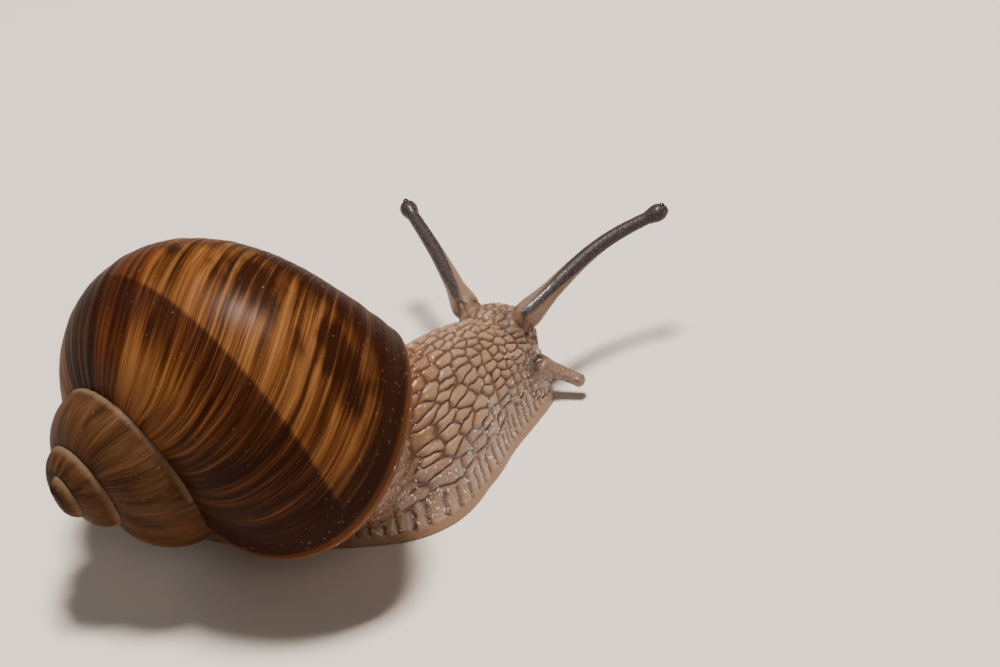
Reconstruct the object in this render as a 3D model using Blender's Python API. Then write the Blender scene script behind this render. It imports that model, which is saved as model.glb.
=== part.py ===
"""A crawling land snail (a Helix), life size, as one still model.

Axes: +X is the way the rear of the foot points forward, +Y the animal's left, +Z up.
The sole rests on z = 0 and the origin is the middle of the bounding box's floor.
All sizes below are in millimetres and become metres when a mesh is made.
"""

import math

import bmesh
import bpy
import numpy as np
from mathutils import Matrix, Vector

MM = 0.001
GAP = 0.3  # clear space kept between two neighbouring solids

# Shell: a tilted elliptical tube wound round its axis and growing as it goes.
SHELL_ORIGIN = (-34.18, -22.44, 16.37)  # the point that the whole coil shrinks towards
AXIS_AZIMUTH = -145.13  # degrees, heading of the axis from the body whorl to the apex
AXIS_ELEVATION = -4.55
SHELL_ROLL = -33.86  # turn of the aperture about the axis
TUBE_RADIUS = 16.48  # at the aperture
TUBE_HEIGHT = 1.017  # along its own second axis, in tube radii
TUBE_TILT = math.radians(26.35)
AXIS_OFFSET = 0.60  # middle of the tube from the axis, in tube radii
COIL_DROP = 1.826  # middle of the tube below the origin, in tube radii
GROWTH = 0.1328  # per radian
GROWTH_GAIN = 0.0013  # per radian squared, so that the first whorls grow faster
TURNS = 3.3
APEX_CAP = 0.5  # radians over which the first whorl closes to a dome
LIP_LEAN = 0.392  # radians that the lip leans forward at the suture side
LIP_CURVE = -0.209
LIP_START = -0.313
LIP_THICK = 1.1
PILLAR = 0.07  # radius of the columella, per length from the origin
PILLAR_START = 2.8  # how far down the axis it begins and ends
PILLAR_END = 24.0
LIP_DEPTH = 3.0  # how far the aperture is hollow before the flesh fills it
SHELL_STEPS = 20  # grid steps per turn
SHELL_SIDES = 20

# Foot and neck: stations from the tail to the front of the foot. Columns: x, y of the
# midline, half width to the right and to the left, height of the back, and how full the
# flanks are (1 is a straight slope, more is rounder).
BODY_STATIONS = np.array([
    (-35.33, -1.2, 0.4, 0.4, 0.9, 1.4),
    (-28.0, -2.4, 3.8, 3.8, 3.0, 1.4),
    (-20.0, -4.2, 6.4, 6.6, 5.4, 1.4),
    (-11.5, -6.4, 7.6, 8.2, 8.0, 1.5),
    (-3.2, -7.6, 7.8, 8.0, 13.0, 1.7),
    (3.0, -6.6, 8.4, 7.4, 17.0, 2.0),
    (7.2, -3.0, 6.6, 8.4, 17.0, 2.6),
    (10.0, 1.4, 5.7, 8.4, 15.4, 2.6),
    (12.6, 5.8, 5.6, 7.2, 13.1, 2.4),
    (14.6, 9.4, 5.4, 5.4, 9.0, 2.2),
    (15.8, 11.8, 3.4, 3.4, 2.4, 2.0),
])
FRINGE = 1.3  # height of the foot's thin edge
SOLE_DEPTH = 1.0  # the loft reaches this far under the floor, where the flat sole cuts it

# Column of flesh that rises from the foot into the aperture.
COLUMN_FOOT = (-3.0, -8.0, 2.0)
COLUMN_HALF = (9.0, 7.5)
COLUMN_FILL = 0.80  # its size at the lip, in lip sizes
# Rings of the mantle collar that plugs the aperture: how far out of the lip, and size in lip sizes.
COLLAR_RINGS = ((-3.6, 1.0), (-1.6, 1.0), (-0.3, 0.98), (0.6, 0.92), (1.0, 0.75))

# Head: an egg over the front of the foot, with a short blunt snout.
HEAD_CENTRE = (13.5, 8.6, 6.9)
HEAD_HALF = (6.0, 5.0, 5.0)  # along the heading, across it, up
HEADING = 60.0  # degrees from +X
SNOUT_CENTRE = (15.0, 11.2, 4.5)
SNOUT_HALF = (3.0, 3.6, 3.0)
LIP_LOBES = ((17.0, 12.4, 3.0), (14.9, 13.6, 3.0))
LIP_LOBE_HALF = (1.6, 1.7, 1.7)

# Feelers: root, a point on the way and tip of each, and radii by share of the length.
UPPER_ROUTES = {"left": ((11.4, 11.0, 10.4), (8.0, 20.2, 12.4), (4.14, 28.96, 14.36)),
                "right": ((16.9, 8.2, 10.4), (26.6, 15.4, 14.6), (35.1, 18.5, 16.9))}
LOWER_ROUTES = {"left": ((10.9, 12.2, 4.4), (9.2, 14.2, 3.2), (7.5, 15.9, 1.9)),
                "right": ((18.3, 7.9, 4.4), (20.9, 7.6, 3.3), (23.5, 6.9, 2.0))}
UPPER_RADII = ((0.0, 0.9), (0.05, 1.6), (0.10, 1.55), (0.17, 1.3), (0.25, 1.05), (0.38, 0.90),
               (0.55, 0.78), (0.85, 0.66), (0.92, 0.92), (0.97, 0.95), (1.0, 0.45))
LOWER_RADII = ((0.0, 0.9), (0.12, 1.5), (0.30, 1.12), (0.6, 0.76), (0.88, 0.70), (0.95, 0.74),
               (1.0, 0.35))
UPPER_CUTS = (("base", 0.0, 0.36), ("stem", 0.36, 0.88), ("bulb", 0.88, 1.0))
UPPER_ROOT = 2.6  # length of each feeler that is one piece with the head
LOWER_ROOT = 1.6
FEELER_SIDES = 10
FEELER_STEP = 1.3  # between rings
RING_APART = 0.15  # rings nearer than this become one
ROUTE_POINTS = 80  # on a feeler's middle line
EYE_RADIUS = 0.42
EYE_SHARE = 0.955  # where along the feeler the eye sits
EYE_RISE = 0.80  # middle of the eye above the middle of the bulb
EYE_GAP = 0.08

# Overlapping forms are melted into one skin of this fineness, then thinned to these faces.
FLESH_MELT = 0.5
FLESH_FACES = 4000

# Thin cuts that part the flesh: a point on each plane and the way it faces.
TAIL_CUT = ((-15.5, -5.8, 0.0), (1.0, -0.25, 0.0))
NECK_CUT = ((7.0, -3.4, 0.0), (0.72, 0.69, 0.0))
HEAD_CUT = ((11.9, 4.6, 0.0), (0.5, 0.866, 0.0))
SOLE_CUT = ((0.0, 0.0, 3.4), (0.0, 0.0, 1.0))
COLLAR_OUT = 1.2  # the collar reaches this far out of the aperture
REACH = 0.2  # metres: half the size of the block that the cuts trim

FLESH = (0.40, 0.30, 0.20)
DARK_FLESH = (0.10, 0.07, 0.06)
SHELL_BROWN = (0.30, 0.13, 0.04)


def clear_scene():
    for old in list(bpy.data.objects):
        bpy.data.objects.remove(old)


def material(name, colour, roughness):
    made = bpy.data.materials.new(name)
    made.use_nodes = True
    shader = made.node_tree.nodes["Principled BSDF"]
    shader.inputs["Base Color"].default_value = (*colour, 1.0)
    shader.inputs["Roughness"].default_value = roughness
    shader.inputs["Metallic"].default_value = 0.0
    return made


def place(name, mesh, finish=None):
    """An object for this mesh, shaded smooth."""
    made = bpy.data.objects.new(name, mesh)
    bpy.context.collection.objects.link(made)
    if finish:
        mesh.materials.clear()
        mesh.materials.append(finish)
        mesh.shade_smooth()
    return made


def helper(name, mesh):
    """An object that only shapes others, so it stays out of the model."""
    made = place(name, mesh)
    made.hide_render = True
    made.display_type = "WIRE"
    return made


def mesh_of_grid(name, rows):
    """A closed tube: rows of points in millimetres, joined side to side and capped by fans."""
    steps, sides, _ = rows.shape
    start, end = rows[0].mean(0), rows[-1].mean(0)
    points = np.concatenate([rows.reshape(-1, 3), [start, end]]) * MM
    step, side = np.meshgrid(np.arange(steps - 1), np.arange(sides), indexing="ij")
    beside = (side + 1) % sides
    quads = np.stack([step * sides + side, step * sides + beside,
                      (step + 1) * sides + beside, (step + 1) * sides + side], -1)
    ring = np.arange(sides)
    after = (ring + 1) % sides
    first, last = steps * sides, steps * sides + 1
    end_ring = (steps - 1) * sides
    fans = np.concatenate([np.stack([np.full(sides, first), after, ring], -1),
                           np.stack([np.full(sides, last), end_ring + ring, end_ring + after], -1)])
    mesh = bpy.data.meshes.new(name)
    mesh.from_pydata(points.tolist(), [], quads.reshape(-1, 4).tolist() + fans.tolist())
    tidy = bmesh.new()
    tidy.from_mesh(mesh)
    bmesh.ops.remove_doubles(tidy, verts=tidy.verts, dist=1e-7)
    if tidy.calc_volume(signed=True) < 0:
        bmesh.ops.reverse_faces(tidy, faces=tidy.faces)
    tidy.to_mesh(mesh)
    tidy.free()
    return mesh


def spline(stations, at):
    """Catmull-Rom curve through the rows of stations; at runs from 0 to their number less one."""
    stations = np.asarray(stations, float)
    padded = np.concatenate([[2 * stations[0] - stations[1]], stations, [2 * stations[-1] - stations[-2]]])
    index = np.clip(np.floor(at).astype(int), 0, len(stations) - 2)
    t = (at - index)[:, None]
    before, a, b, after = (padded[index + k] for k in range(4))
    return 0.5 * (2 * a + (b - before) * t + (2 * before - 5 * a + 4 * b - after) * t ** 2
                  + (3 * a - before - 3 * b + after) * t ** 3)


# Shell

def shell_frame():
    """Columns: two directions across the axis, then the axis towards the apex."""
    azimuth, elevation, roll = map(math.radians, (AXIS_AZIMUTH, AXIS_ELEVATION, SHELL_ROLL))
    axis = np.array([math.cos(azimuth) * math.cos(elevation),
                     math.sin(azimuth) * math.cos(elevation), math.sin(elevation)])
    level = np.array([-math.sin(azimuth), math.cos(azimuth), 0.0])
    up = np.cross(axis, level)
    across = math.cos(roll) * level + math.sin(roll) * up
    return np.stack([across, np.cross(axis, across), axis], 1)


def shell_point(turn, around, skin=0.0):
    """Where the tube is at an angle along the coil (0 at the lip, negative to the apex) and an
    angle round its section (0 is outermost, 90 degrees towards the apex), skin mm further out."""
    grow = TUBE_RADIUS * np.exp(GROWTH * turn + GROWTH_GAIN * turn ** 2)
    wide = 1.0 + skin / grow
    cap = np.sqrt(np.clip(1 - (np.clip(-TURNS * 2 * math.pi - turn, 0, APEX_CAP) / APEX_CAP) ** 2, 0, 1))
    flat, high = np.cos(around) * wide * cap, TUBE_HEIGHT * np.sin(around) * wide * cap
    out = AXIS_OFFSET + flat * math.cos(TUBE_TILT) - high * math.sin(TUBE_TILT)
    out = np.maximum(out, PILLAR / 2 - min(skin, 0) / grow)  # whorls meet at the pillar, not across it
    along = -COIL_DROP + flat * math.sin(TUBE_TILT) + high * math.cos(TUBE_TILT)
    local = np.stack([out * grow * np.cos(turn), -out * grow * np.sin(turn), along * grow], -1)
    return local @ shell_frame().T + SHELL_ORIGIN


def lip_turn(around):
    """The lip and every growth line lean along the coil by this much round the section."""
    return LIP_START + LIP_LEAN * np.sin(around) + LIP_CURVE * (1 - np.cos(around))


def shell_rows(gap):
    """Rings from the apex to the lip, then round the lip and back down inside the aperture. With
    a gap, every wall stands that much further out, towards whatever is near the shell."""
    around = np.linspace(0, 2 * math.pi, SHELL_SIDES, endpoint=False)[None, :]
    start = -TURNS * 2 * math.pi
    dome = start - APEX_CAP * np.sin(np.linspace(math.pi / 2, 0, 5, endpoint=False))
    coil = np.concatenate([dome, np.linspace(start, 0, int(TURNS * SHELL_STEPS) + 1)])[:, None]
    lean = np.clip(coil / math.pi + 2, 0, 1)  # only the last turn's growth lines have the lip's lean
    rows = [shell_point(coil + lean * (lip_turn(around) + gap / TUBE_RADIUS), around, gap)]
    for depth in (0.15, 1.5, LIP_DEPTH):
        inside = lip_turn(around) - (depth - gap) / TUBE_RADIUS
        rows.append(shell_point(inside, around, -LIP_THICK - gap))
    return np.concatenate(rows)


def pillar_rows(gap):
    """A slim cone down the axis, the columella, which the whorls wind round."""
    along = np.linspace(PILLAR_START, PILLAR_END, 8)[:, None]
    around = np.linspace(0, 2 * math.pi, 8, endpoint=False)[None, :]
    wide = PILLAR * along + gap
    local = np.stack([wide * np.cos(around), wide * np.sin(around), -along - gap + 0 * around], -1)
    return local @ shell_frame().T + SHELL_ORIGIN


def welded_coil(name, gap=0.0):
    """The coil is a tube whose whorls overlap, so a union welds them to each other and the pillar."""
    coil = place(name, mesh_of_grid(name, shell_rows(gap)))
    weld = coil.modifiers.new("weld_whorls", "BOOLEAN")
    weld.operation = "UNION"
    weld.object = helper(name + "_pillar", mesh_of_grid(name + "_pillar", pillar_rows(gap)))
    weld.use_self = True
    return coil


def build_shell(finish):
    """The shell itself, from the first whorl to the lip."""
    shell = welded_coil("shell")
    shell.data.materials.append(finish)
    shell.data.shade_smooth()


# Flesh

def body_rows(steps=64, flank=16):
    """Sections square to the midline: flat sole, thin edge, flanks and back, from tail to front."""
    at = np.linspace(0, len(BODY_STATIONS) - 1, steps)
    x, y, right, left, high, full = spline(BODY_STATIONS, at).T
    heading = np.arctan2(np.gradient(y), np.gradient(x))
    side = np.linspace(1, -1, flank + 1)
    curve = np.sin(side * math.pi / 2)  # closer points near the edges
    width = np.where(curve > 0, right[:, None], left[:, None])
    across = curve * width
    rise = (1 - np.abs(curve) ** full[:, None]) ** 0.85
    edge = np.minimum(FRINGE, 0.6 * high)[:, None]
    z = edge + (high[:, None] - edge) * rise
    sole = np.linspace(-0.95, 0.95, 6)
    under = sole * np.where(sole > 0, right[:, None], left[:, None])
    across = np.concatenate([across, under], 1)
    z = np.concatenate([z, np.full_like(under, -SOLE_DEPTH)], 1)
    return np.stack([x[:, None] + across * np.sin(heading)[:, None],
                     y[:, None] - across * np.cos(heading)[:, None], z], -1)


def lip_ring(sides, out=0.0, skin=0.0):
    """The ring of the lip, moved out of the aperture by some mm along the coil, skin mm further out."""
    around = np.linspace(0, 2 * math.pi, sides, endpoint=False)
    return shell_point(lip_turn(around) + out / TUBE_RADIUS, around, skin)


def column_rows(steps=12, sides=24):
    """From an oval on the foot up to the middle of the aperture."""
    lip = lip_ring(sides)
    middle = lip.mean(0)
    lip = middle + (lip - middle) * COLUMN_FILL
    direction = np.arctan2(lip[:, 1] - middle[1], lip[:, 0] - middle[0])
    foot = np.stack([COLUMN_FOOT[0] + COLUMN_HALF[0] * np.cos(direction),
                     COLUMN_FOOT[1] + COLUMN_HALF[1] * np.sin(direction),
                     np.full(sides, COLUMN_FOOT[2])], -1)
    share = np.linspace(0, 1, steps)[:, None, None]
    return foot + (lip - foot) * share


def collar_rows(sides=32):
    """A plug that fills the aperture inside its wall and swells a little out of it."""
    rings = []
    for out, size in COLLAR_RINGS:
        ring = lip_ring(sides, out, -LIP_THICK / 2)
        rings.append(ring.mean(0) + (ring - ring.mean(0)) * size)
    return np.stack(rings)


def egg(centre, half, steps=12, sides=16):
    """An ellipsoid turned to the head's heading."""
    down = np.linspace(0.12, math.pi - 0.12, steps)[:, None]
    around = np.linspace(0, 2 * math.pi, sides, endpoint=False)[None, :]
    along, across = np.cos(down) + 0 * around, np.sin(down) * np.cos(around)
    up = np.sin(down) * np.sin(around)
    turn = math.radians(HEADING)
    x = along * half[0] * math.cos(turn) - across * half[1] * math.sin(turn)
    y = along * half[0] * math.sin(turn) + across * half[1] * math.cos(turn)
    return np.stack([x, y, up * half[2]], -1) + centre


def feeler_line(route):
    """Close points on a feeler's middle line, and how far along it each one is."""
    points = spline(route, np.linspace(0, len(route) - 1, ROUTE_POINTS))
    return points, np.concatenate([[0], np.cumsum(np.linalg.norm(np.diff(points, axis=0), axis=1))])


def feeler_rows(route, radii, begin=0.0, end=1.0):
    """A round tube along a smooth route, whose radius follows the shares in radii."""
    points, gone = feeler_line(route)
    length = gone[-1]
    stops = np.array([share * length for share, _ in radii if begin < share < end])
    even = np.linspace(begin, end, max(3, int((end - begin) * length / FEELER_STEP))) * length
    far = np.unique(np.round(np.concatenate([even, stops]), 3))
    far = far[np.concatenate([[True], np.diff(far) > RING_APART])]
    far[-1] = end * length
    middle = np.stack([np.interp(far, gone, points[:, k]) for k in range(3)], -1)
    ahead = np.gradient(middle, axis=0)
    ahead /= np.linalg.norm(ahead, axis=1, keepdims=True)
    level = np.cross(ahead, (0, 0, 1))
    level /= np.linalg.norm(level, axis=1, keepdims=True)
    up = np.cross(level, ahead)
    radius = np.interp(far / length, [s for s, _ in radii], [r for _, r in radii])[:, None, None]
    around = np.linspace(0, 2 * math.pi, FEELER_SIDES, endpoint=False)[None, :, None]
    ring = np.cos(around) * level[:, None] + np.sin(around) * up[:, None]
    return middle[:, None] + radius * ring


def route_length(route):
    return feeler_line(route)[1][-1]


def joined(name, grids):
    """Several closed grids as one mesh."""
    whole = bmesh.new()
    for grid in grids:
        part = mesh_of_grid(name, grid)
        whole.from_mesh(part)
        bpy.data.meshes.remove(part)
    mesh = bpy.data.meshes.new(name)
    whole.to_mesh(mesh)
    whole.free()
    return mesh


def evaluated(source, name):
    """The mesh that an object's modifiers make."""
    graph = bpy.context.evaluated_depsgraph_get()
    made = bpy.data.meshes.new_from_object(source.evaluated_get(graph))
    made.name = name
    return made


def melted(source, fineness, softness, faces, name):
    """The outer skin of an object's overlapping forms, softened and thinned to about this many faces."""
    melt = source.modifiers.new("melt", "REMESH")
    melt.mode = "VOXEL"
    melt.voxel_size = fineness * MM
    soften = source.modifiers.new("soften", "SMOOTH")
    soften.factor = 0.5
    soften.iterations = softness
    whole = len(evaluated(source, name).polygons) * 2
    thin = source.modifiers.new("thin", "DECIMATE")
    thin.ratio = faces / whole
    return evaluated(source, name)


def melted_flesh():
    """Foot, neck, column, collar, head and feeler roots as one skin."""
    grids = [body_rows(), column_rows(), collar_rows()]
    grids += [egg(HEAD_CENTRE, HEAD_HALF), egg(SNOUT_CENTRE, SNOUT_HALF)]
    grids += [egg(lobe, LIP_LOBE_HALF) for lobe in LIP_LOBES]
    for routes, radii, root in ((UPPER_ROUTES, UPPER_RADII, UPPER_ROOT),
                                (LOWER_ROUTES, LOWER_RADII, LOWER_ROOT)):
        grids += [feeler_rows(route, radii, 0.0, root / route_length(route)) for route in routes.values()]
    source = helper("flesh_forms", joined("flesh_forms", grids))
    return melted(source, FLESH_MELT, 6, FLESH_FACES, "flesh")


def cell(name, planes):
    """A block above the floor, trimmed to the front side of each plane and half a gap clear of it."""
    block = bmesh.new()
    bmesh.ops.create_cube(block, size=2 * REACH, matrix=Matrix.Translation((0, 0, REACH)))
    for point, facing in planes:
        facing = Vector(facing).normalized()
        cut = Vector(point) * MM + facing * (GAP / 2 * MM)
        every = block.verts[:] + block.edges[:] + block.faces[:]
        made = bmesh.ops.bisect_plane(block, geom=every, plane_co=cut, plane_no=facing, clear_inner=True)
        rim = [edge for edge in made["geom_cut"] if isinstance(edge, bmesh.types.BMEdge)]
        bmesh.ops.contextual_create(block, geom=rim)
    bmesh.ops.recalc_face_normals(block, faces=block.faces)
    mesh = bpy.data.meshes.new(name)
    block.to_mesh(mesh)
    block.free()
    return helper(name, mesh)


def behind(plane):
    """The same cut, seen from its other side."""
    point, facing = plane
    return point, tuple(-part for part in facing)


def aperture_cut():
    """The plane of the lip, moved out of the shell by the collar's reach, facing into the shell."""
    lip = lip_ring(36)
    inward = lip_ring(36, -3.0).mean(0) - lip.mean(0)
    normal = np.linalg.svd(lip - lip.mean(0))[2][2]
    normal *= math.copysign(1.0, normal @ inward)
    return tuple(lip.mean(0) - normal * COLLAR_OUT), tuple(normal)


def build_flesh(finish):
    """Each named part is the flesh inside its own cell, clear of the shell."""
    flesh = melted_flesh()
    coil = welded_coil("shell_room", GAP)
    coil.hide_render = True
    seat = helper("shell_seat", evaluated(coil, "shell_seat"))
    mouth = aperture_cut()
    out = behind(mouth)
    cells = {
        "mantle_collar": [mouth],
        "trunk": [out, TAIL_CUT, behind(NECK_CUT), SOLE_CUT],
        "neck": [out, NECK_CUT, behind(HEAD_CUT), SOLE_CUT],
        "head": [HEAD_CUT, SOLE_CUT],
        "foot_front": [NECK_CUT, behind(SOLE_CUT)],
        "foot_middle": [TAIL_CUT, behind(NECK_CUT), behind(SOLE_CUT)],
        "foot_tail": [out, behind(TAIL_CUT)],
    }
    for name, planes in cells.items():
        part = place(name, flesh.copy(), finish)
        trim = part.modifiers.new("own_cell", "BOOLEAN")
        trim.operation = "INTERSECT"
        trim.object = cell(name + "_cell", planes)
        if name in ("mantle_collar", "trunk", "foot_tail", "neck"):
            hollow = part.modifiers.new("shell_seat", "BOOLEAN")
            hollow.operation = "DIFFERENCE"
            hollow.object = seat
            if name == "mantle_collar":
                hollow.solver = "MANIFOLD"  # EXACT leaves doubled edges where the rim grazes the collar


def feeler_spot(route, share):
    """The point on a feeler's middle line at this share of its length."""
    points, gone = feeler_line(route)
    return np.array([np.interp(share * gone[-1], gone, points[:, k]) for k in range(3)])


def ball(name, centre, radius):
    """A small sphere mesh."""
    sphere = bmesh.new()
    bmesh.ops.create_icosphere(sphere, subdivisions=2, radius=radius * MM,
                               matrix=Matrix.Translation(Vector(centre) * MM))
    mesh = bpy.data.meshes.new(name)
    sphere.to_mesh(mesh)
    sphere.free()
    return mesh


def build_feelers(finish, dark):
    """Upper feelers in three lengths with an eye set in each bulb, lower feelers in one."""
    for side, route in UPPER_ROUTES.items():
        length = route_length(route)
        eye_centre = feeler_spot(route, EYE_SHARE) + (0, 0, EYE_RISE)
        for part, begin, end in UPPER_CUTS:
            begin = begin + GAP / 2 / length if begin else (UPPER_ROOT + GAP) / length
            end = end - GAP / 2 / length if end < 1 else 1.0
            name = f"tentacle_upper_{side}_{part}"
            made = place(name, mesh_of_grid(name, feeler_rows(route, UPPER_RADII, begin, end)), finish)
            if part == "bulb":
                room = ball(f"socket_{side}", eye_centre, EYE_RADIUS + EYE_GAP)
                socket = made.modifiers.new("eye_socket", "BOOLEAN")
                socket.operation = "DIFFERENCE"
                socket.object = helper(f"socket_{side}", room)
        place(f"eye_{side}", ball(f"eye_{side}", eye_centre, EYE_RADIUS), dark)
    for side, route in LOWER_ROUTES.items():
        begin = (LOWER_ROOT + GAP) / route_length(route)
        name = f"tentacle_lower_{side}"
        place(name, mesh_of_grid(name, feeler_rows(route, LOWER_RADII, begin)), finish)


def main():
    clear_scene()
    build_shell(material("shell_brown", SHELL_BROWN, 0.3))
    flesh_finish = material("snail_flesh", FLESH, 0.35)
    build_flesh(flesh_finish)
    build_feelers(flesh_finish, material("eye_dark", DARK_FLESH, 0.2))


main()
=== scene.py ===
# %% [markdown]
# # A crawling land snail
#
# A snail is two kinds of thing: a hard shell that grew by adding to its own edge, and one soft
# wet body with no edges at all. The shell is worked out as a formula, and the body is melted
# together from simple forms and then wrinkled.
#
# ## The solids
#
# The model's exact solids are loaded first. Everything that follows is dressed around them, in
# the same axes: +X towards the front of the foot, +Y the animal's left, +Z up.

import math

import bmesh
import bpy
import numpy as np
from mathutils import Matrix, Vector


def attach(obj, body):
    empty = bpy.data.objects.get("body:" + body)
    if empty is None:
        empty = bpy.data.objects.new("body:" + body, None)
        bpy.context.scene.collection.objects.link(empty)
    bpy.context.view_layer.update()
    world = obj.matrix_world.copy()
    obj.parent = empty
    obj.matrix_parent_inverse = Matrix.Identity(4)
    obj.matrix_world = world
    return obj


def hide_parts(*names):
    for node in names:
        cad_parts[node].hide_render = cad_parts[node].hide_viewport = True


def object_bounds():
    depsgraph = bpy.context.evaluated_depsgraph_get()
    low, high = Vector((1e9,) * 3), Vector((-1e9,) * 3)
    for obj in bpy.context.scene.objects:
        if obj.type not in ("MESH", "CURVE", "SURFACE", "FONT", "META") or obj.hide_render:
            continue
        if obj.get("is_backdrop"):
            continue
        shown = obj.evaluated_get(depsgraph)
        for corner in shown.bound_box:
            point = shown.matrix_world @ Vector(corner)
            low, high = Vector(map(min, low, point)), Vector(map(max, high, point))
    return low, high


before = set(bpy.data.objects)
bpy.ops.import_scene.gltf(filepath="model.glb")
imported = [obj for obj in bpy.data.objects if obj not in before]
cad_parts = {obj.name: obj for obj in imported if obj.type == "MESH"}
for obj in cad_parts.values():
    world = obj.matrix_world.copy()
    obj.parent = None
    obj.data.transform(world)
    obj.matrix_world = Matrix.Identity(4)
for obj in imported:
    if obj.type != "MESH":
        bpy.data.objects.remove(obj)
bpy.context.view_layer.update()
MM = 0.001
scene = bpy.context.scene

# %% [markdown]
# ## Camera
#
# The animal is seen from above its right side, by a long lens that looks down on it. Such a lens
# could be set by turning an empty that the camera looks at, but three numbers for its place and
# three for what it looks at are easier to read, and one more rolls it.

# %% Camera
CAMERA_AT = Vector((50.5, -328.9, 264.8)) * MM
LOOKS_AT = Vector((16.8, -11.2, 24.06)) * MM
ROLL = math.radians(-10.0)
SENSOR_WIDTH, FOCAL_LENGTH = 36.0, 133.92  # in millimetres, as on a real camera
NEAR_LIMIT, FAR_LIMIT = 0.01, 20.0  # in metres

backward = (CAMERA_AT - LOOKS_AT).normalized()
level = Vector((0, 0, 1)).cross(backward).normalized()
turn_to_view = Matrix((level, backward.cross(level), backward)).transposed()
turn_to_view = turn_to_view @ Matrix.Rotation(ROLL, 3, "Z")
lens = bpy.data.cameras.new("long_lens")
lens.sensor_width, lens.lens = SENSOR_WIDTH, FOCAL_LENGTH
lens.clip_start, lens.clip_end = NEAR_LIMIT, FAR_LIMIT
camera = bpy.data.objects.new("camera", lens)
camera.matrix_world = Matrix.Translation(CAMERA_AT) @ turn_to_view.to_4x4()
scene.collection.objects.link(camera)
scene.camera = camera
print("camera stands", round((CAMERA_AT - LOOKS_AT).length / MM), "mm away")

# %% [markdown]
# ## Floor
#
# The floor is one plain pale sheet, wide enough that its edge is never seen. A curved backdrop
# would also hide the edge, but a small thing seen from above needs none.

# %% Floor
FLOOR_SIZE = 6.0
FLOOR_COLOUR, FLOOR_ROUGHNESS = (0.76, 0.66, 0.57, 1.0), 0.9

floor_mesh = bpy.data.meshes.new("floor")
reach = FLOOR_SIZE / 2
corners = [(-reach, -reach, 0), (reach, -reach, 0), (reach, reach, 0), (-reach, reach, 0)]
floor_mesh.from_pydata(corners, [], [(0, 1, 2, 3)])
floor = bpy.data.objects.new("floor", floor_mesh)
scene.collection.objects.link(floor)
floor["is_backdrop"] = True
paper = bpy.data.materials.new("pale_paper")
paper.use_nodes = True
sheet = paper.node_tree.nodes["Principled BSDF"]
sheet.inputs["Base Color"].default_value = FLOOR_COLOUR
sheet.inputs["Roughness"].default_value = FLOOR_ROUGHNESS
floor_mesh.materials.append(paper)
print("floor:", FLOOR_SIZE, "m across")

# %% [markdown]
# ## Light
#
# The main light comes almost straight down, as the sun at noon does, because that puts the dark
# under the shell and a bright edge on its shoulder. A sun lamp would give shadows with a hard
# edge. A small square lamp high above gives the same direction, only a little softer, and two
# weak ones from the sides stand for the open sky.

# %% Light
BODY_MIDDLE = (0.0, -0.005, 0.01)
SKY_COLOUR, SKY_STRENGTH = (0.80, 0.84, 0.90, 1.0), 0.10
LAMPS = {
    # place, side of the square (both in metres), power in watts, colour
    "noon": ((0.06, 0.04, 0.62), 0.12, 8.0, (1.0, 0.97, 0.92)),
    "sky_front": ((0.30, -0.85, 0.70), 0.5, 1.8, (1.0, 0.97, 0.93)),
    "sky_left": ((-0.70, 0.30, 0.60), 0.5, 0.9, (1.0, 0.98, 0.95)),
}


def area_lamp(name, place, size, power, colour):
    """A square lamp at a place, turned to face the middle of the body."""
    lamp = bpy.data.lights.new(name, "AREA")
    lamp.size, lamp.energy, lamp.color = size, power, colour
    holder = bpy.data.objects.new(name, lamp)
    holder.location = place
    holder.rotation_euler = (Vector(BODY_MIDDLE) - Vector(place)).to_track_quat("-Z", "Y").to_euler()
    scene.collection.objects.link(holder)


for name, settings in LAMPS.items():
    area_lamp(name, *settings)
sky = bpy.data.worlds.new("studio")
sky.use_nodes = True
air = sky.node_tree.nodes["Background"]
air.inputs["Color"].default_value = SKY_COLOUR
air.inputs["Strength"].default_value = SKY_STRENGTH
scene.world = sky

# %% [markdown]
# ## Grids
#
# Most forms here are tubes: a closed ring of points carried along a path. A curve object with a
# bevel makes tubes too, but along it the ring can only change its size, not its shape. So numpy
# works out every ring at once, and one function turns the grid into a mesh and closes its two
# ends with fans.

# %% Grids
def grid_faces(steps, sides):
    """Quads between neighbouring rings, and fans to one more point at each end."""
    step, side = np.meshgrid(np.arange(steps - 1), np.arange(sides), indexing="ij")
    beside = (side + 1) % sides
    quads = np.stack([step * sides + side, step * sides + beside,
                      (step + 1) * sides + beside, (step + 1) * sides + side], -1).reshape(-1, 4)
    ring = np.arange(sides)
    after = (ring + 1) % sides
    first, last = steps * sides, steps * sides + 1
    start = np.stack([np.full(sides, first), after, ring], -1)
    end = np.stack([np.full(sides, last), (steps - 1) * sides + ring, (steps - 1) * sides + after], -1)
    return quads.tolist() + start.tolist() + end.tolist()


def tube_mesh(name, rows):
    """A closed mesh from rings of points in millimetres, turned to face outwards."""
    steps, sides, _ = rows.shape
    points = np.concatenate([rows.reshape(-1, 3), rows[:1].mean(1), rows[-1:].mean(1)]) * MM
    mesh = bpy.data.meshes.new(name)
    mesh.from_pydata(points.tolist(), [], grid_faces(steps, sides))
    shape = bmesh.new()
    shape.from_mesh(mesh)
    if shape.calc_volume(signed=True) < 0:
        bmesh.ops.reverse_faces(shape, faces=shape.faces)
        shape.to_mesh(mesh)
    shape.free()
    mesh.shade_smooth()
    return mesh


print("a tube of 3 rings of 4 points has", len(grid_faces(3, 4)), "faces")

# %% [markdown]
# ## Curves and numbers on points
#
# A body bends through a few places that are easy to name, and a smooth curve has to join them.
# Blender's own curve objects could do it, but here the same curve is wanted again as numbers, to
# tell each point of the skin how far along the body it is. So the curve is worked out in numpy.

# %% Curves and numbers on points
FULL_TURN = 2 * math.pi


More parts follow.
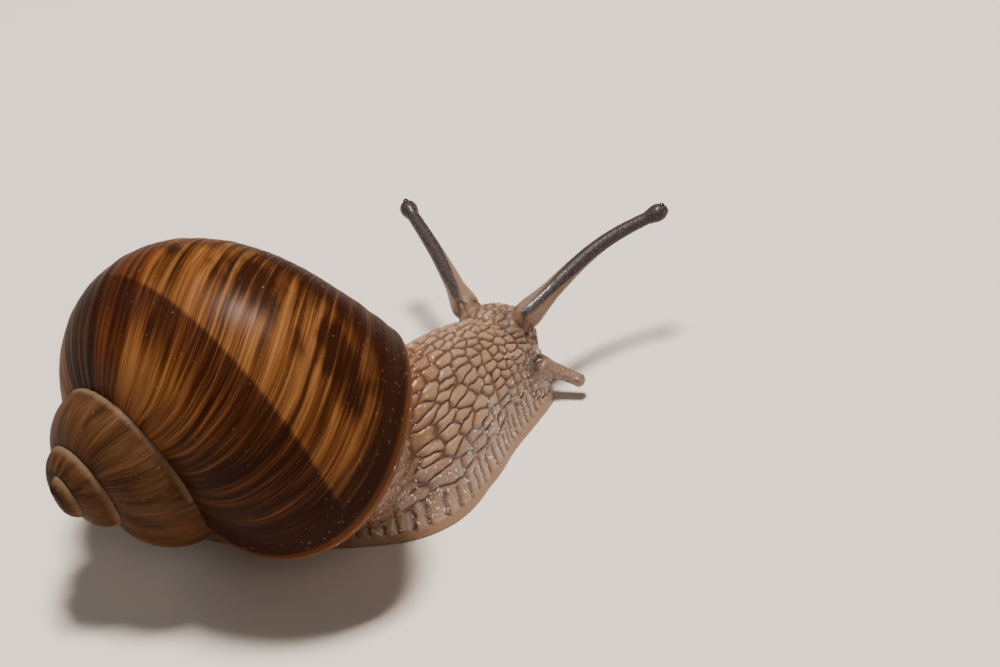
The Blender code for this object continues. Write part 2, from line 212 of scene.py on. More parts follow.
def spline(stations, at):
    """A Catmull-Rom curve: it passes through every station, and its slope at each is half the
    step from the one before to the one after. at runs from 0 to the number of stations less 1."""
    stations = np.asarray(stations, float)
    before_first, after_last = 2 * stations[0] - stations[1], 2 * stations[-1] - stations[-2]
    padded = np.concatenate([[before_first], stations, [after_last]])
    index = np.clip(np.floor(at).astype(int), 0, len(stations) - 2)
    t = (at - index)[:, None]
    before, a, b, after = (padded[index + k] for k in range(4))
    return 0.5 * (2 * a + (b - before) * t + (2 * before - 5 * a + 4 * b - after) * t ** 2
                  + (3 * a - before - 3 * b + after) * t ** 3)


def s_curve(value, low, high):
    """0 at low and 1 at high, as 3 share ** 2 - 2 share ** 3 between. With low above high it
    falls."""
    share = np.clip((value - low) / (high - low), 0, 1)
    return share * share * (3 - 2 * share)


def number_on_points(mesh, name, values):
    """One number for each point of a mesh, which a material can read by its name."""
    held = mesh.attributes.new(name, "FLOAT", "POINT")
    held.data.foreach_set("value", np.asarray(values, np.float32).ravel())


def hang(name, mesh):
    """An object for a mesh, at the origin."""
    made = bpy.data.objects.new(name, mesh)
    scene.collection.objects.link(made)
    return made


print("halfway along an S-curve:", float(s_curve(0.5, 0.0, 1.0)))

# %% [markdown]
# ## The coil of the shell
#
# A snail adds to the edge of its shell, always in the same shape and always a little bigger. So
# the shell is a tube whose ring turns round an axis while it grows by the same share each turn.
# A point of it needs two numbers: how far along the coil it is, and where on the ring. A Screw
# modifier also turns a ring round an axis, but it can't grow the ring on the way.

# %% The coil of the shell
SHELL_ORIGIN = np.array([-34.18, -22.44, 16.37])
AXIS_AZIMUTH, AXIS_ELEVATION, SHELL_ROLL = np.radians([-145.13, -4.55, -33.86])
TUBE_RADIUS, TUBE_HEIGHT, TUBE_TILT = 16.48, 1.017, math.radians(26.35)
AXIS_OFFSET, COIL_DROP = 0.60, 1.826  # in tube radii
GROWTH, GROWTH_GAIN, TURNS = 0.1328, 0.0013, 3.3
LIP_START, LIP_LEAN, LIP_CURVE = -0.313, 0.392, -0.209
APEX_CAP = 0.5  # the first half radian of the coil is its round tip
PILLAR = 0.035  # the coils meet at a pillar of this many tube radii, not across the axis


def shell_frame():
    """Three directions as columns: two across the axis of the coil, and the axis to the apex. The
    axis has AXIS_AZIMUTH and AXIS_ELEVATION, and SHELL_ROLL turns the other two about it."""
    axis = np.array([math.cos(AXIS_AZIMUTH) * math.cos(AXIS_ELEVATION),
                     math.sin(AXIS_AZIMUTH) * math.cos(AXIS_ELEVATION), math.sin(AXIS_ELEVATION)])
    flat = np.array([-math.sin(AXIS_AZIMUTH), math.cos(AXIS_AZIMUTH), 0.0])
    across = math.cos(SHELL_ROLL) * flat + math.sin(SHELL_ROLL) * np.cross(axis, flat)
    return np.stack([across, np.cross(axis, across), axis], 1)


def shell_size(turn):
    """The radius of the tube: TUBE_RADIUS times e to the power of GROWTH times the turn plus
    GROWTH_GAIN times its square. So each turn it grows by a share that is itself a little more."""
    return TUBE_RADIUS * np.exp(GROWTH * turn + GROWTH_GAIN * turn ** 2)


def from_axis(flat, high):
    """A place on the ellipse, turned by TUBE_TILT and then moved AXIS_OFFSET out and COIL_DROP
    down: how far out from the axis it is, and how far along it."""
    return (AXIS_OFFSET + flat * math.cos(TUBE_TILT) - high * math.sin(TUBE_TILT),
            -COIL_DROP + flat * math.sin(TUBE_TILT) + high * math.cos(TUBE_TILT))


def shell_point(turn, around, skin=0.0):
    """The place on the ellipse, turned about the axis by turn and grown with it, so that it
    sweeps the shell. skin is how many millimetres the point stands outside the ellipse."""
    grow = shell_size(turn)
    wide = 1.0 + skin / grow
    past_start = np.clip(-TURNS * FULL_TURN - turn, 0, APEX_CAP) / APEX_CAP
    cap = np.sqrt(np.clip(1 - past_start ** 2, 0, 1))
    out, along = from_axis(np.cos(around) * wide * cap, TUBE_HEIGHT * np.sin(around) * wide * cap)
    out = np.maximum(out, PILLAR)
    local = np.stack([out * grow * np.cos(turn), -out * grow * np.sin(turn), along * grow], -1)
    return local @ shell_frame().T + SHELL_ORIGIN


def lip_turn(around):
    """How far along the coil the lip stands, round its ring: LIP_START, and LIP_LEAN times the
    sine, and LIP_CURVE times 1 less the cosine. Every growth line has this shape."""
    return LIP_START + LIP_LEAN * np.sin(around) + LIP_CURVE * (1 - np.cos(around))


print("the last ring is", round(2 * TUBE_RADIUS, 1), "mm wide")

# %% [markdown]
# ## Seams and growth lines
#
# Two things are still needed for a shell that looks grown. Each point has to know how far it is
# from the neighbouring coil, for the seam's colour, and the surface is a little uneven where
# growth stopped and went on. A noise texture could displace it, but growth lines all run one
# way, so smooth random waves along the coil are simpler and stay in their place.

# %% Seams and growth lines
SCRAMBLE = (127.1, 74.7, 43758.5453)  # with these three a sine jumps about as if at random


def waves(at, size, seed):
    """Smooth bumps along one number: random heights at even steps, joined by an S-curve."""
    per_step, per_seed, much = SCRAMBLE
    cell = np.floor(at / size)
    share = s_curve(at / size - cell, 0, 1)
    low, high = (np.sin(cell * per_step + step + seed * per_seed) * much % 1.0 for step in (0.0, per_step))
    return low + (high - low) * share - 0.5


def near_coil(turn, around, coils_on):
    """How many millimetres a point is from the coil that lies some whole turns further on: its
    place as seen from that coil's middle, turned back by the tilt, less that coil's radius."""
    grow, other = shell_size(turn), shell_size(turn + coils_on * FULL_TURN)
    out, along = from_axis(np.cos(around), TUBE_HEIGHT * np.sin(around))
    out, along = out * grow - AXIS_OFFSET * other, along * grow + COIL_DROP * other
    flat = out * math.cos(TUBE_TILT) + along * math.sin(TUBE_TILT)
    high = (along * math.cos(TUBE_TILT) - out * math.sin(TUBE_TILT)) / TUBE_HEIGHT
    return np.hypot(flat, high) - other


print("a wave at 0.1:", np.round(waves(np.array([0.1]), 0.075, 1.0), 3))

# %% [markdown]
# ## The shell as a surface
#
# The rings are set close together along the last turn, which shows most, and further apart on
# the older ones. At the lip the surface rounds the edge and runs back inside, so the shell has
# a wall. A Solidify modifier would give a wall as well, but an evenly thick one with a square
# edge, where a real lip is thickened and round.

# %% The shell as a surface
SHELL_SIDES = 150
TIP_RINGS, OLD_RINGS, LAST_RINGS = 10, 200, 400
GROWTH_LINES = ((0.10, 0.075, 1.0), (0.06, 0.031, 2.0))  # height in mm, width in radians, seed
LIP_WALL = ((0.22, -0.10), (0.34, -0.35), (0.30, -0.65), (0.10, -0.88), (-0.5, -1.0), (-1.5, -1.1),
            (-3.0, -1.2), (-5.0, -1.3))  # forward of the lip, and outside the ellipse, in mm

around = np.linspace(0, FULL_TURN, SHELL_SIDES, endpoint=False)[None, :]
growth = np.concatenate([
    -TURNS * FULL_TURN - APEX_CAP * np.sin(np.linspace(math.pi / 2, 0, TIP_RINGS, endpoint=False)),
    np.linspace(-TURNS * FULL_TURN, -FULL_TURN, OLD_RINGS, endpoint=False),
    np.linspace(-FULL_TURN, 0, LAST_RINGS)])[:, None]
lean = np.clip(growth / math.pi + 2, 0, 1)  # over half a turn the rings come to lean as the lip
turn = growth + lean * lip_turn(around)
relief = sum(high * waves(growth, wide, seed) for high, wide, seed in GROWTH_LINES)
relief = relief * shell_size(growth) / TUBE_RADIUS
rows = [shell_point(turn, around, relief)]
for forward, skin in LIP_WALL:
    rows.append(shell_point(lip_turn(around) + forward / TUBE_RADIUS, around, skin))
shell_mesh = tube_mesh("shell_surface", np.concatenate(rows))
print("shell:", len(shell_mesh.polygons), "faces")

# %% [markdown]
# ## What each point of the shell knows
#
# The colours of a shell follow its growth and not the axes of the room. So each point keeps
# its growth and its place on the ring, both in degrees, how far the next younger and the next
# older coil are, and whether it lies inside the mouth. An unwrapped image would need a seam
# somewhere along the coil, and these numbers need none.

# %% What each point of the shell knows
FAR_OFF = 9.0  # a coil further away than this, in mm, makes no difference
ROUND_THE_EDGE = 4  # rings of the lip's wall over which the outside turns into the inside


def for_rings(values, at_lip):
    """A number for every point: those of the outer surface, then the lip's wall, then two poles."""
    values = np.broadcast_to(values, (len(growth), SHELL_SIDES))
    wall = np.broadcast_to(at_lip, (len(LIP_WALL), SHELL_SIDES))
    return np.concatenate([values.ravel(), wall.ravel(), values[0, :1], values[-1, :1]])


on_ring = np.degrees((around + math.pi) % FULL_TURN - math.pi)
covered = turn + FULL_TURN < lip_turn(around)
to_younger = np.clip(np.where(covered, near_coil(turn, around, 1), FAR_OFF), 0, FAR_OFF)
to_older = np.clip(near_coil(turn, around, -1), 0, FAR_OFF)
inside = np.clip(np.arange(len(LIP_WALL)) / ROUND_THE_EDGE, 0, 1)[:, None]
number_on_points(shell_mesh, "growth", for_rings(np.degrees(growth), 0.0))
number_on_points(shell_mesh, "around", for_rings(on_ring, on_ring))
number_on_points(shell_mesh, "to_younger", for_rings(to_younger, FAR_OFF))
number_on_points(shell_mesh, "to_older", for_rings(to_older, FAR_OFF))
number_on_points(shell_mesh, "inside", for_rings(0.0, inside))
shell = hang("shell_surface", shell_mesh)
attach(shell, "root")
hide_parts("shell")
print("each point holds", [held.name for held in shell_mesh.attributes if held.data_type == "FLOAT"])

# %% [markdown]
# ## Writing a finish as sums
#
# A finish on an animal is mostly masks: how far, how dark, how wet. Boxes and wires for such
# sums soon grow into a tangle. Here a reading from a node can be added, multiplied and taken
# away like a number, and each sum puts the Math node it needs into the material by itself.

# %% Writing a finish as sums
class Reading:
    """One output of a node. A sum written with it adds the Math node that works it out."""

    def __init__(self, finish, socket):
        self.finish, self.socket = finish, socket

    def sum(self, operation, first, second):
        """A Math node that does one operation with two readings or numbers."""
        return self.finish.node("ShaderNodeMath", {"operation": operation}, {0: first, 1: second})

    def __add__(self, other):
        return self.sum("ADD", self, other)

    def __radd__(self, other):
        return self.sum("ADD", other, self)

    def __sub__(self, other):
        return self.sum("SUBTRACT", self, other)

    def __rsub__(self, other):
        return self.sum("SUBTRACT", other, self)

    def __mul__(self, other):
        return self.sum("MULTIPLY", self, other)

    def __rmul__(self, other):
        return self.sum("MULTIPLY", other, self)

    def __truediv__(self, other):
        return self.sum("DIVIDE", self, other)


sums = [name.strip("_") for name in vars(Reading) if name[-5:-2] in ("add", "sub", "mul", "div")]
print("a reading knows", sums)

# %% [markdown]
# ## The nodes of a finish
#
# The skin's grooves are wanted twice, once as a shape and once as a colour. Both are node
# trees, so the few kinds of node that they share are written once, for either tree.

# %% The nodes of a finish
class Finish:
    """A material, or a shape's own node tree, that is being written."""

    def __init__(self, tree):
        self.tree = tree

    def node(self, kind, settings=None, inputs=None, output=0):
        """Adds a node: first its settings, then the numbers and readings that its sockets take.
        What comes back is one of its outputs."""
        made = self.tree.nodes.new(kind)
        for name, value in (settings or {}).items():
            setattr(made, name, value)
        for socket, value in (inputs or {}).items():
            self.feed(made.inputs[socket], value)
        return Reading(self, made.outputs[output]) if len(made.outputs) else None

    def feed(self, socket, value):
        """Joins a reading to a socket, or sets the socket's own value."""
        if isinstance(value, Reading):
            self.tree.links.new(value.socket, socket)
        else:
            socket.default_value = value

    def rise(self, value, low, high):
        """0 below low and 1 above high, with an S-curve between. With low above high it falls."""
        return self.node("ShaderNodeMapRange", {"interpolation_type": "SMOOTHSTEP"},
                         {"Value": value, "From Min": low, "From Max": high})

    def band(self, value, low, high, soft):
        """1 between low and high, with edges that fade over soft."""
        return self.rise(value, low - soft, low) * self.rise(value, high + soft, high)

    def place(self, x, y=0.0, z=0.0):
        """Three numbers as one place, for a pattern to be read at."""
        return self.node("ShaderNodeCombineXYZ", {}, {0: x, 1: y, 2: z})

    def noise(self, at, size=1.0, detail=2.0, roughness=0.5):
        """Cloudy noise from 0 to 1, mostly near 0.5, with clouds of about the size."""
        return self.node("ShaderNodeTexNoise", {},
                         {"Vector": at, "Scale": 1.0 / size, "Detail": detail, "Roughness": roughness})

    def mix(self, share, one, other):
        """From one colour to another by a share from 0 to 1."""
        one, other = ((*c, 1.0) if isinstance(c, tuple) else c for c in (one, other))
        return self.node("ShaderNodeMix", {"data_type": "RGBA", "clamp_factor": True},
                         {0: share, 6: one, 7: other}, output=2)


class Paint(Finish):
    """A finish for a surface, with the sockets of its shader."""

    def __init__(self, name):
        self.material = bpy.data.materials.new(name)
        self.material.use_nodes = True
        super().__init__(self.material.node_tree)
        self.shader = self.tree.nodes["Principled BSDF"]

    def read(self, name):
        """A number that the mesh holds on its points."""
        return self.node("ShaderNodeAttribute", {"attribute_name": name}, output=2)

    def where(self):
        """The place on the object, in metres."""
        return self.node("ShaderNodeTexCoord", output=3)

    def wear(self, **sockets):
        """Sets or joins the shader's sockets, whose spaces are written as underscores."""
        for name, value in sockets.items():
            self.feed(self.shader.inputs[name.replace("_", " ")], value)

    def bump(self, height, depth):
        """Light bends as if the height, 0 to 1, stood up by depth millimetres."""
        return self.node("ShaderNodeBump", {}, {"Height": height, "Distance": depth * MM, "Strength": 1.0})


print("a finish is written with", [name for name in vars(Paint) if not name.startswith("_")])

# %% [markdown]
# ## The pattern of the shell
#
# Dark streaks mark each pause in the shell's growth, and run along its growth lines. Two wide
# bands run the other way, along the coil. An image could hold all this, but here the mesh knows
# growth and place on the ring at each point, so each mark is a sum of those two numbers.

# %% The pattern of the shell
# Where each mark fades in. On the ring, in degrees: 0 is its outer side, 90 is by the older coil.
SEAM_EDGE, STREAKY_EDGE, LOW_BAND = (-10.0, -7.0), (2.0, 26.0), (-50.0, -38.0)
UNDER_EDGE, NAVEL_EDGE = (-50.0, -74.0), (-125.0, -100.0)
# Back along the coil, in degrees: 0 is the lip.
LIP_SHADE, STREAKY_FROM, REST_LINE = (-19.0, -7.0), (-34.0, -84.0), (-150.0, -124.0)
LOW_BAND_SOFT, REST_LINE_SOFT, PATCHY = 12.0, 5.0, (0.35, 0.62)

paint = Paint("shell_lime")
grown, ring_place, inner = paint.read("growth"), paint.read("around"), paint.read("inside")
to_younger, to_older = paint.read("to_younger"), paint.read("to_older")
wander = paint.noise(paint.place(grown * 0.03, ring_place * 0.03), detail=1.0) * 3.0


def streaks(across, along, layer, bend=0.0, detail=2.0, roughness=0.5):
    """Noise drawn out along the growth lines: across and along say how many waves it has in a
    degree of growth and in a degree of the ring, and bend how far its lines wander."""
    return paint.noise(paint.place(grown * across + wander * bend, ring_place * along, layer),
                       detail=detail, roughness=roughness)


fine = streaks(0.42, 0.009, 3.0, bend=0.5, detail=3.0, roughness=0.6)
broad = streaks(0.10, 0.014, 7.0, bend=0.2)
hair = streaks(1.7, 0.02, 11.0, roughness=0.6)
patches = streaks(0.075, 0.035, 17.0, detail=3.0)

streaked = paint.rise(ring_place, *STREAKY_EDGE) * paint.rise(grown, *STREAKY_FROM)
seam_band = paint.rise(ring_place, *SEAM_EDGE) * (1.0 - 0.85 * streaked)
low_band = paint.band(ring_place + (hair - 0.5) * 14.0, *LOW_BAND, LOW_BAND_SOFT)
low_band = low_band * paint.rise(patches, *PATCHY)
under_band = paint.rise(ring_place + (hair - 0.5) * 16.0, *UNDER_EDGE) * paint.rise(ring_place, *NAVEL_EDGE)
navel_side = paint.rise(ring_place, *NAVEL_EDGE[::-1])
at_lip = paint.rise(grown, *LIP_SHADE)
rest_line = paint.band(grown, *REST_LINE, REST_LINE_SOFT)
print("marks of the shell so far:", len(paint.tree.nodes), "nodes")

# %% [markdown]
# ## The colour of the shell
#
# How dark a point is, is first one number, to which each mark adds its part. Only then is it
# turned into a colour. Mixing a colour for each mark would darken twice wherever two of them
# cross, and the soft streaks would come out muddy.

# %% The colour of the shell
GOLD, PALE_GOLD, REDDISH = (0.140, 0.044, 0.0090), (0.245, 0.100, 0.030), (0.075, 0.017, 0.0055)
DARK_BROWN, OLD_BROWN, WORN = (0.018, 0.0046, 0.0018), (0.066, 0.024, 0.0068), (0.20, 0.135, 0.085)
EDGE, INSIDE = (0.10, 0.032, 0.007), (0.22, 0.14, 0.10)
PALE_TO_DARK = (-0.40, 0.54)
RED_PAUSE, RED_PAUSE_SOFT, OLD_TURNS = (-121.0, -104.0), 5.0, (-345.0, -290.0)  # degrees of growth
EDGE_FROM, INSIDE_FROM = (-2.4, -0.8), (-3.0, -9.0)  # degrees of growth
WORN_SEAM, DARK_SEAM, DULL_SEAM = (0.9, 0.15), (0.35, 0.0), (2.0, 0.4)  # mm from the next coil
SPECK_SIZE, SPECK_EDGE = 0.00045, (0.70, 0.76)

level_of_dark = (seam_band * 0.30 + low_band * 0.42 + under_band * 0.52 + navel_side * 0.34
                 - streaked * 0.08 + at_lip * 0.60 + rest_line * 0.50)
hairy = 0.40 + (seam_band + under_band + navel_side) * 0.85
level_of_dark = level_of_dark + (fine - 0.5) * 1.35 + (broad - 0.5) * 1.1 + (hair - 0.5) * hairy
dark = paint.rise(level_of_dark, *PALE_TO_DARK)

gold = paint.mix(paint.rise(fine * 0.6 + hair * 0.4, 0.38, 0.62), PALE_GOLD, GOLD)
gold = paint.mix(paint.band(grown, *RED_PAUSE, RED_PAUSE_SOFT) * 0.8, gold, REDDISH)
gold = paint.mix(seam_band * 0.62 + under_band * 0.45, gold, REDDISH)
colour = paint.mix(dark * 0.97, gold, DARK_BROWN)
old = paint.mix(paint.rise(fine + hair * 0.5, 0.62, 0.98) * 0.35, OLD_BROWN, WORN)
old = paint.mix(paint.rise(fine * 0.6 + broad * 0.6, 0.56, 0.74) * 0.75, old, DARK_BROWN)
colour = paint.mix(paint.rise(grown, *OLD_TURNS), old, colour)
colour = paint.mix(paint.rise(to_younger + (hair - 0.5) * 1.0, *WORN_SEAM) * 0.55, colour, WORN)
specks = paint.noise(paint.where(), size=SPECK_SIZE)
colour = paint.mix(paint.rise(specks + (under_band + at_lip) * 0.035, *SPECK_EDGE) * 0.5, colour, WORN)
colour = paint.mix(paint.rise(grown + (hair - 0.5) * 1.5, *EDGE_FROM) * 0.8, colour, EDGE)
colour = paint.mix(paint.rise(to_older, *DARK_SEAM) * 0.8, colour, DARK_BROWN)
colour = paint.mix(inner, colour, paint.mix(paint.rise(grown, *INSIDE_FROM), EDGE, INSIDE))

dull_seam = paint.rise(to_younger, *DULL_SEAM)
paint.wear(Base_Color=colour, Roughness=0.42 + (fine - 0.5) * 0.25 + dull_seam * 0.25,
           Normal=paint.bump(fine * 0.55 + hair * 0.45, 0.10), Specular_IOR_Level=0.01,
           Coat_Weight=0.09 - dull_seam * 0.05, Coat_Roughness=0.36)
shell_mesh.materials.append(paint.material)
print("shell finish:", len(paint.tree.nodes), "nodes")

# %% [markdown]
# ## The foot and neck
#
# The foot and neck are one loft: sections square to a bent middle line, each with a half width to
# either side and a height. Each section is a low arch with a thin edge, standing on a flat sole
# that reaches a little through the floor and is levelled later. A sculpted mesh could have any
# form, but a short table of sections is easier to correct.

# %% The foot and neck
BODY_STATIONS = np.array([
    # x, y of the middle line, half width right and left, height, fullness of the flanks
    (-35.33, -1.2, 0.4, 0.4, 0.9, 1.4), (-28.0, -2.4, 3.8, 3.8, 3.0, 1.4), (-20.0, -4.2, 6.4, 6.6, 5.4, 1.4),
    (-11.5, -6.4, 7.6, 8.2, 8.0, 1.5), (-3.2, -7.6, 7.8, 8.0, 13.0, 1.7), (3.0, -6.6, 8.4, 7.4, 17.0, 2.0),
    (7.2, -3.0, 6.6, 8.4, 17.0, 2.6), (10.0, 1.4, 5.7, 8.4, 15.4, 2.6), (12.6, 5.8, 5.6, 7.2, 13.1, 2.4),
    (14.6, 9.4, 5.4, 5.4, 9.0, 2.2), (15.8, 11.8, 3.4, 3.4, 2.4, 2.0)])
FRINGE, THIN_FRINGE = 1.3, 0.6  # height of the foot's edge in mm, and at most this share of a section
BACK_ROUNDING = 0.85  # below 1 it fills the arch of a section
SOLE_DEPTH, SOLE_WIDTH, SOLE_POINTS = 1.0, 0.95, 20  # in mm, as a share of the section, points


def body_rows(steps=260, flank=60):
    """Across a section, the height is that of the edge, plus the rest times 1 - |side| **
    fullness, which the power BACK_ROUNDING makes a little rounder."""
    at = np.linspace(0, len(BODY_STATIONS) - 1, steps)
    x, y, right, left, high, full = spline(BODY_STATIONS, at).T
    heading = np.arctan2(np.gradient(y), np.gradient(x))
    curve = np.sin(np.linspace(1, -1, flank + 1) * math.pi / 2)
    across = curve * np.where(curve > 0, right[:, None], left[:, None])
    edge = np.minimum(FRINGE, THIN_FRINGE * high)[:, None]
    z = edge + (high[:, None] - edge) * (1 - np.abs(curve) ** full[:, None]) ** BACK_ROUNDING
    sole = np.linspace(-SOLE_WIDTH, SOLE_WIDTH, SOLE_POINTS)
    under = sole * np.where(sole > 0, right[:, None], left[:, None])
    across = np.concatenate([across, under], 1)
    z = np.concatenate([z, np.full_like(under, -SOLE_DEPTH)], 1)
    return np.stack([x[:, None] + across * np.sin(heading)[:, None],
                     y[:, None] - across * np.cos(heading)[:, None], z], -1)


forms = [body_rows()]
print("the foot and neck are", round(float(np.ptp(forms[0][..., 0])), 1), "mm long from back to front")

# %% [markdown]
# ## The column and the mantle
#
# A column rises from the foot into the shell. Round it, a thick ring, the mantle, plugs the mouth
# of the shell, which it also builds. Both are copies of the lip's own ring, so they fit its
# leaning mouth, where an oval drawn by hand would leave gaps.

# %% The column and the mantle
COLUMN_FOOT, COLUMN_HALF, COLUMN_FILL = (-3.0, -8.0, 2.0), (9.0, 7.5), 0.80
COLLAR_RINGS = ((-3.6, 1.0), (-1.6, 1.0), (0.0, 1.0), (0.7, 0.985), (0.95, 0.93), (0.9, 0.80))
COLLAR_SWELL, SWELL_AT = 0.35, math.radians(-40.0)  # it swells more on this side of the ring
COLLAR_SKIN, COLLAR_STEPS = -0.30, 25


def lip_ring(sides, out=0.0, skin=0.0):
    """The ring of the lip, moved out of the mouth along the coil, and outwards by skin."""
    ring = np.linspace(0, FULL_TURN, sides, endpoint=False)
    return shell_point(lip_turn(ring) + out / TUBE_RADIUS, ring, skin)


def column_rows(steps=30, sides=90):
    """Straight lines from an oval on the foot to a smaller copy of the lip's ring."""
    lip = lip_ring(sides)
    middle = lip.mean(0)
    lip = middle + (lip - middle) * COLUMN_FILL
    towards = np.arctan2(lip[:, 1] - middle[1], lip[:, 0] - middle[0])
    foot = np.stack([COLUMN_FOOT[0] + COLUMN_HALF[0] * np.cos(towards),
                     COLUMN_FOOT[1] + COLUMN_HALF[1] * np.sin(towards), np.full(sides, COLUMN_FOOT[2])], -1)
    return foot + (lip - foot) * np.linspace(0, 1, steps)[:, None, None]


def collar_rows(sides=110):
    """Copies of the lip's ring, which shrink as they come out of the mouth."""
    at = np.linspace(0, len(COLLAR_RINGS) - 1, COLLAR_STEPS)
    rings = []
    swell = 1 + COLLAR_SWELL * np.cos(np.linspace(0, FULL_TURN, sides, endpoint=False) - SWELL_AT)
    for out, size in spline(COLLAR_RINGS, at):
        ring = lip_ring(sides, out * swell if out > 0 else out, COLLAR_SKIN)
        rings.append(ring.mean(0) + (ring - ring.mean(0)) * size)
    return np.stack(rings)


forms += [column_rows(), collar_rows()]
print("the column has", len(forms[1]), "rings, and the mantle", len(forms[2]))

# %% [markdown]
# ## The head
#
# The head is a few eggs: one large, a snout and two lobes of the lip. Metaballs would melt
# together by themselves, but their sizes are hard to foretell, and here everything is melted
# together later.

# %% The head
HEADING = math.radians(60.0)
HEAD_EGGS = (((13.5, 8.6, 6.9), (6.0, 5.0, 5.0)), ((15.0, 11.2, 4.5), (3.0, 3.6, 3.0)),
             ((17.0, 12.4, 3.0), (1.6, 1.7, 1.7)), ((14.9, 13.6, 3.0), (1.6, 1.7, 1.7)))
EGG_POLE = 0.03  # the first ring of an egg is this many radians from its pole


def egg_rows(centre, half, steps=40, sides=48):
    """An ellipsoid whose first half size lies along the head's heading."""
    down = np.linspace(EGG_POLE, math.pi - EGG_POLE, steps)[:, None]
    ring = np.linspace(0, FULL_TURN, sides, endpoint=False)[None, :]
    along = half[0] * np.cos(down) + 0 * ring
    across, up = half[1] * np.sin(down) * np.cos(ring), half[2] * np.sin(down) * np.sin(ring)
    x = along * math.cos(HEADING) - across * math.sin(HEADING)
    y = along * math.sin(HEADING) + across * math.cos(HEADING)
    return np.stack([x, y, up], -1) + centre


forms += [egg_rows(*egg) for egg in HEAD_EGGS]
print("the head is made of", len(HEAD_EGGS), "eggs")

# %% [markdown]
# ## The feelers
#
# Each feeler is a tube along a smooth route through three points. It is stout at its root and
# slender further on, and the upper ones have a knob at the end, where an eye sits. A curve object
# could be such a tube, but here the route is wanted again as numbers.

# %% The feelers
UPPER_ROUTES = {"left": ((11.4, 11.0, 10.4), (8.0, 20.2, 12.4), (4.14, 28.96, 14.36)),
                "right": ((16.9, 8.2, 10.4), (26.6, 15.4, 14.6), (35.1, 18.5, 16.9))}
LOWER_ROUTES = {"left": ((10.9, 12.2, 4.4), (9.2, 14.2, 3.2), (7.5, 15.9, 1.9)),
                "right": ((17.8, 8.0, 4.5), (20.9, 7.6, 3.3), (23.5, 6.9, 2.0))}
# share of a feeler's length, and its radius there in mm
UPPER_RADII = ((0.0, 0.9), (0.05, 1.6), (0.10, 1.55), (0.17, 1.3), (0.25, 1.05), (0.38, 0.90),
               (0.55, 0.78), (0.88, 0.64), (0.93, 0.92), (0.965, 0.97), (1.0, 0.45))
LOWER_RADII = ((0.0, 1.0), (0.10, 1.55), (0.22, 1.35), (0.38, 0.98), (0.6, 0.76), (0.86, 0.68),
               (0.94, 0.70), (0.98, 0.55), (1.0, 0.25))
FEELER_STEPS = 160


def feeler_path(route):
    """Points close together on a feeler's middle line, each one's share of its length, and the
    length itself."""
    points = spline(route, np.linspace(0, len(route) - 1, FEELER_STEPS))
    gone = np.concatenate([[0], np.cumsum(np.linalg.norm(np.diff(points, axis=0), axis=1))])
    return points, gone / gone[-1], gone[-1]


def feeler_radius(radii, share):
    """The radii by share of the length, joined by straight lines."""
    return np.interp(share, [s for s, _ in radii], [r for _, r in radii])


def feeler_rows(route, radii, sides=24):
    """Rings square to the middle line, with a round end."""
    points, share, _ = feeler_path(route)
    ahead = np.gradient(points, axis=0)
    ahead /= np.linalg.norm(ahead, axis=1, keepdims=True)
    flat = np.cross(ahead, (0, 0, 1))
    flat /= np.linalg.norm(flat, axis=1, keepdims=True)
    up = np.cross(flat, ahead)
    ring = np.linspace(0, FULL_TURN, sides, endpoint=False)[None, :, None]
    radius = feeler_radius(radii, share)[:, None, None]
    return points[:, None] + radius * (np.cos(ring) * flat[:, None] + np.sin(ring) * up[:, None])


forms += [feeler_rows(route, UPPER_RADII) for route in UPPER_ROUTES.values()]
forms += [feeler_rows(route, LOWER_RADII) for route in LOWER_ROUTES.values()]
print(len(forms), "forms make the body")

# %% [markdown]
# ## One skin
#
# The forms overlap, but a snail has no seams. A voxel remesh lays one skin of small squares over
# all of them, and a few rounds of smoothing melt the creases. A Boolean union would keep the
# creases, and its faces would be too uneven to wrinkle.

# %% One skin
SKIN_FINENESS = 0.20  # side of a square in mm
SOFTEN_SHARE, SOFTEN_ROUNDS = 0.5, 16


def made_of(maker):
    """The mesh that an object's modifiers make, and its points in mm."""
    mesh = bpy.data.meshes.new_from_object(maker.evaluated_get(bpy.context.evaluated_depsgraph_get()))
    points = np.empty(len(mesh.vertices) * 3, np.float32)
    mesh.vertices.foreach_get("co", points)
    return mesh, points.reshape(-1, 3).astype(float) / MM


whole = bmesh.new()
for form in forms:
    piece = tube_mesh("form", form)
    whole.from_mesh(piece)
    bpy.data.meshes.remove(piece)
raw = bpy.data.meshes.new("body_forms")
whole.to_mesh(raw)
whole.free()
maker = hang("body_forms", raw)
melt = maker.modifiers.new("melt", "REMESH")
melt.mode = "VOXEL"
melt.voxel_size = SKIN_FINENESS * MM
soften = maker.modifiers.new("soften", "SMOOTH")
soften.factor, soften.iterations = SOFTEN_SHARE, SOFTEN_ROUNDS
melted, points = made_of(maker)
maker.modifiers.clear()
maker.data = melted
print("melted skin:", len(points), "points")

# %% [markdown]
# ## Fewer faces where nobody looks
#
# The sole and the part of the body inside the shell are never seen, yet they have as many small
# squares as the head. A vertex group names them, and the Decimate modifier thins only those. The
# sole is levelled too, so that the animal stands flat.

# %% Fewer faces where nobody looks
HIDDEN_KEPT, LEAST_KEPT = 0.06, 0.2  # shares of the hidden faces, and of all of them, that stay
BEHIND_MOUTH, COLUMN_TOP, SOLE_TOP = -1.0, 9.0, 0.02  # in mm: hidden behind, above and below these

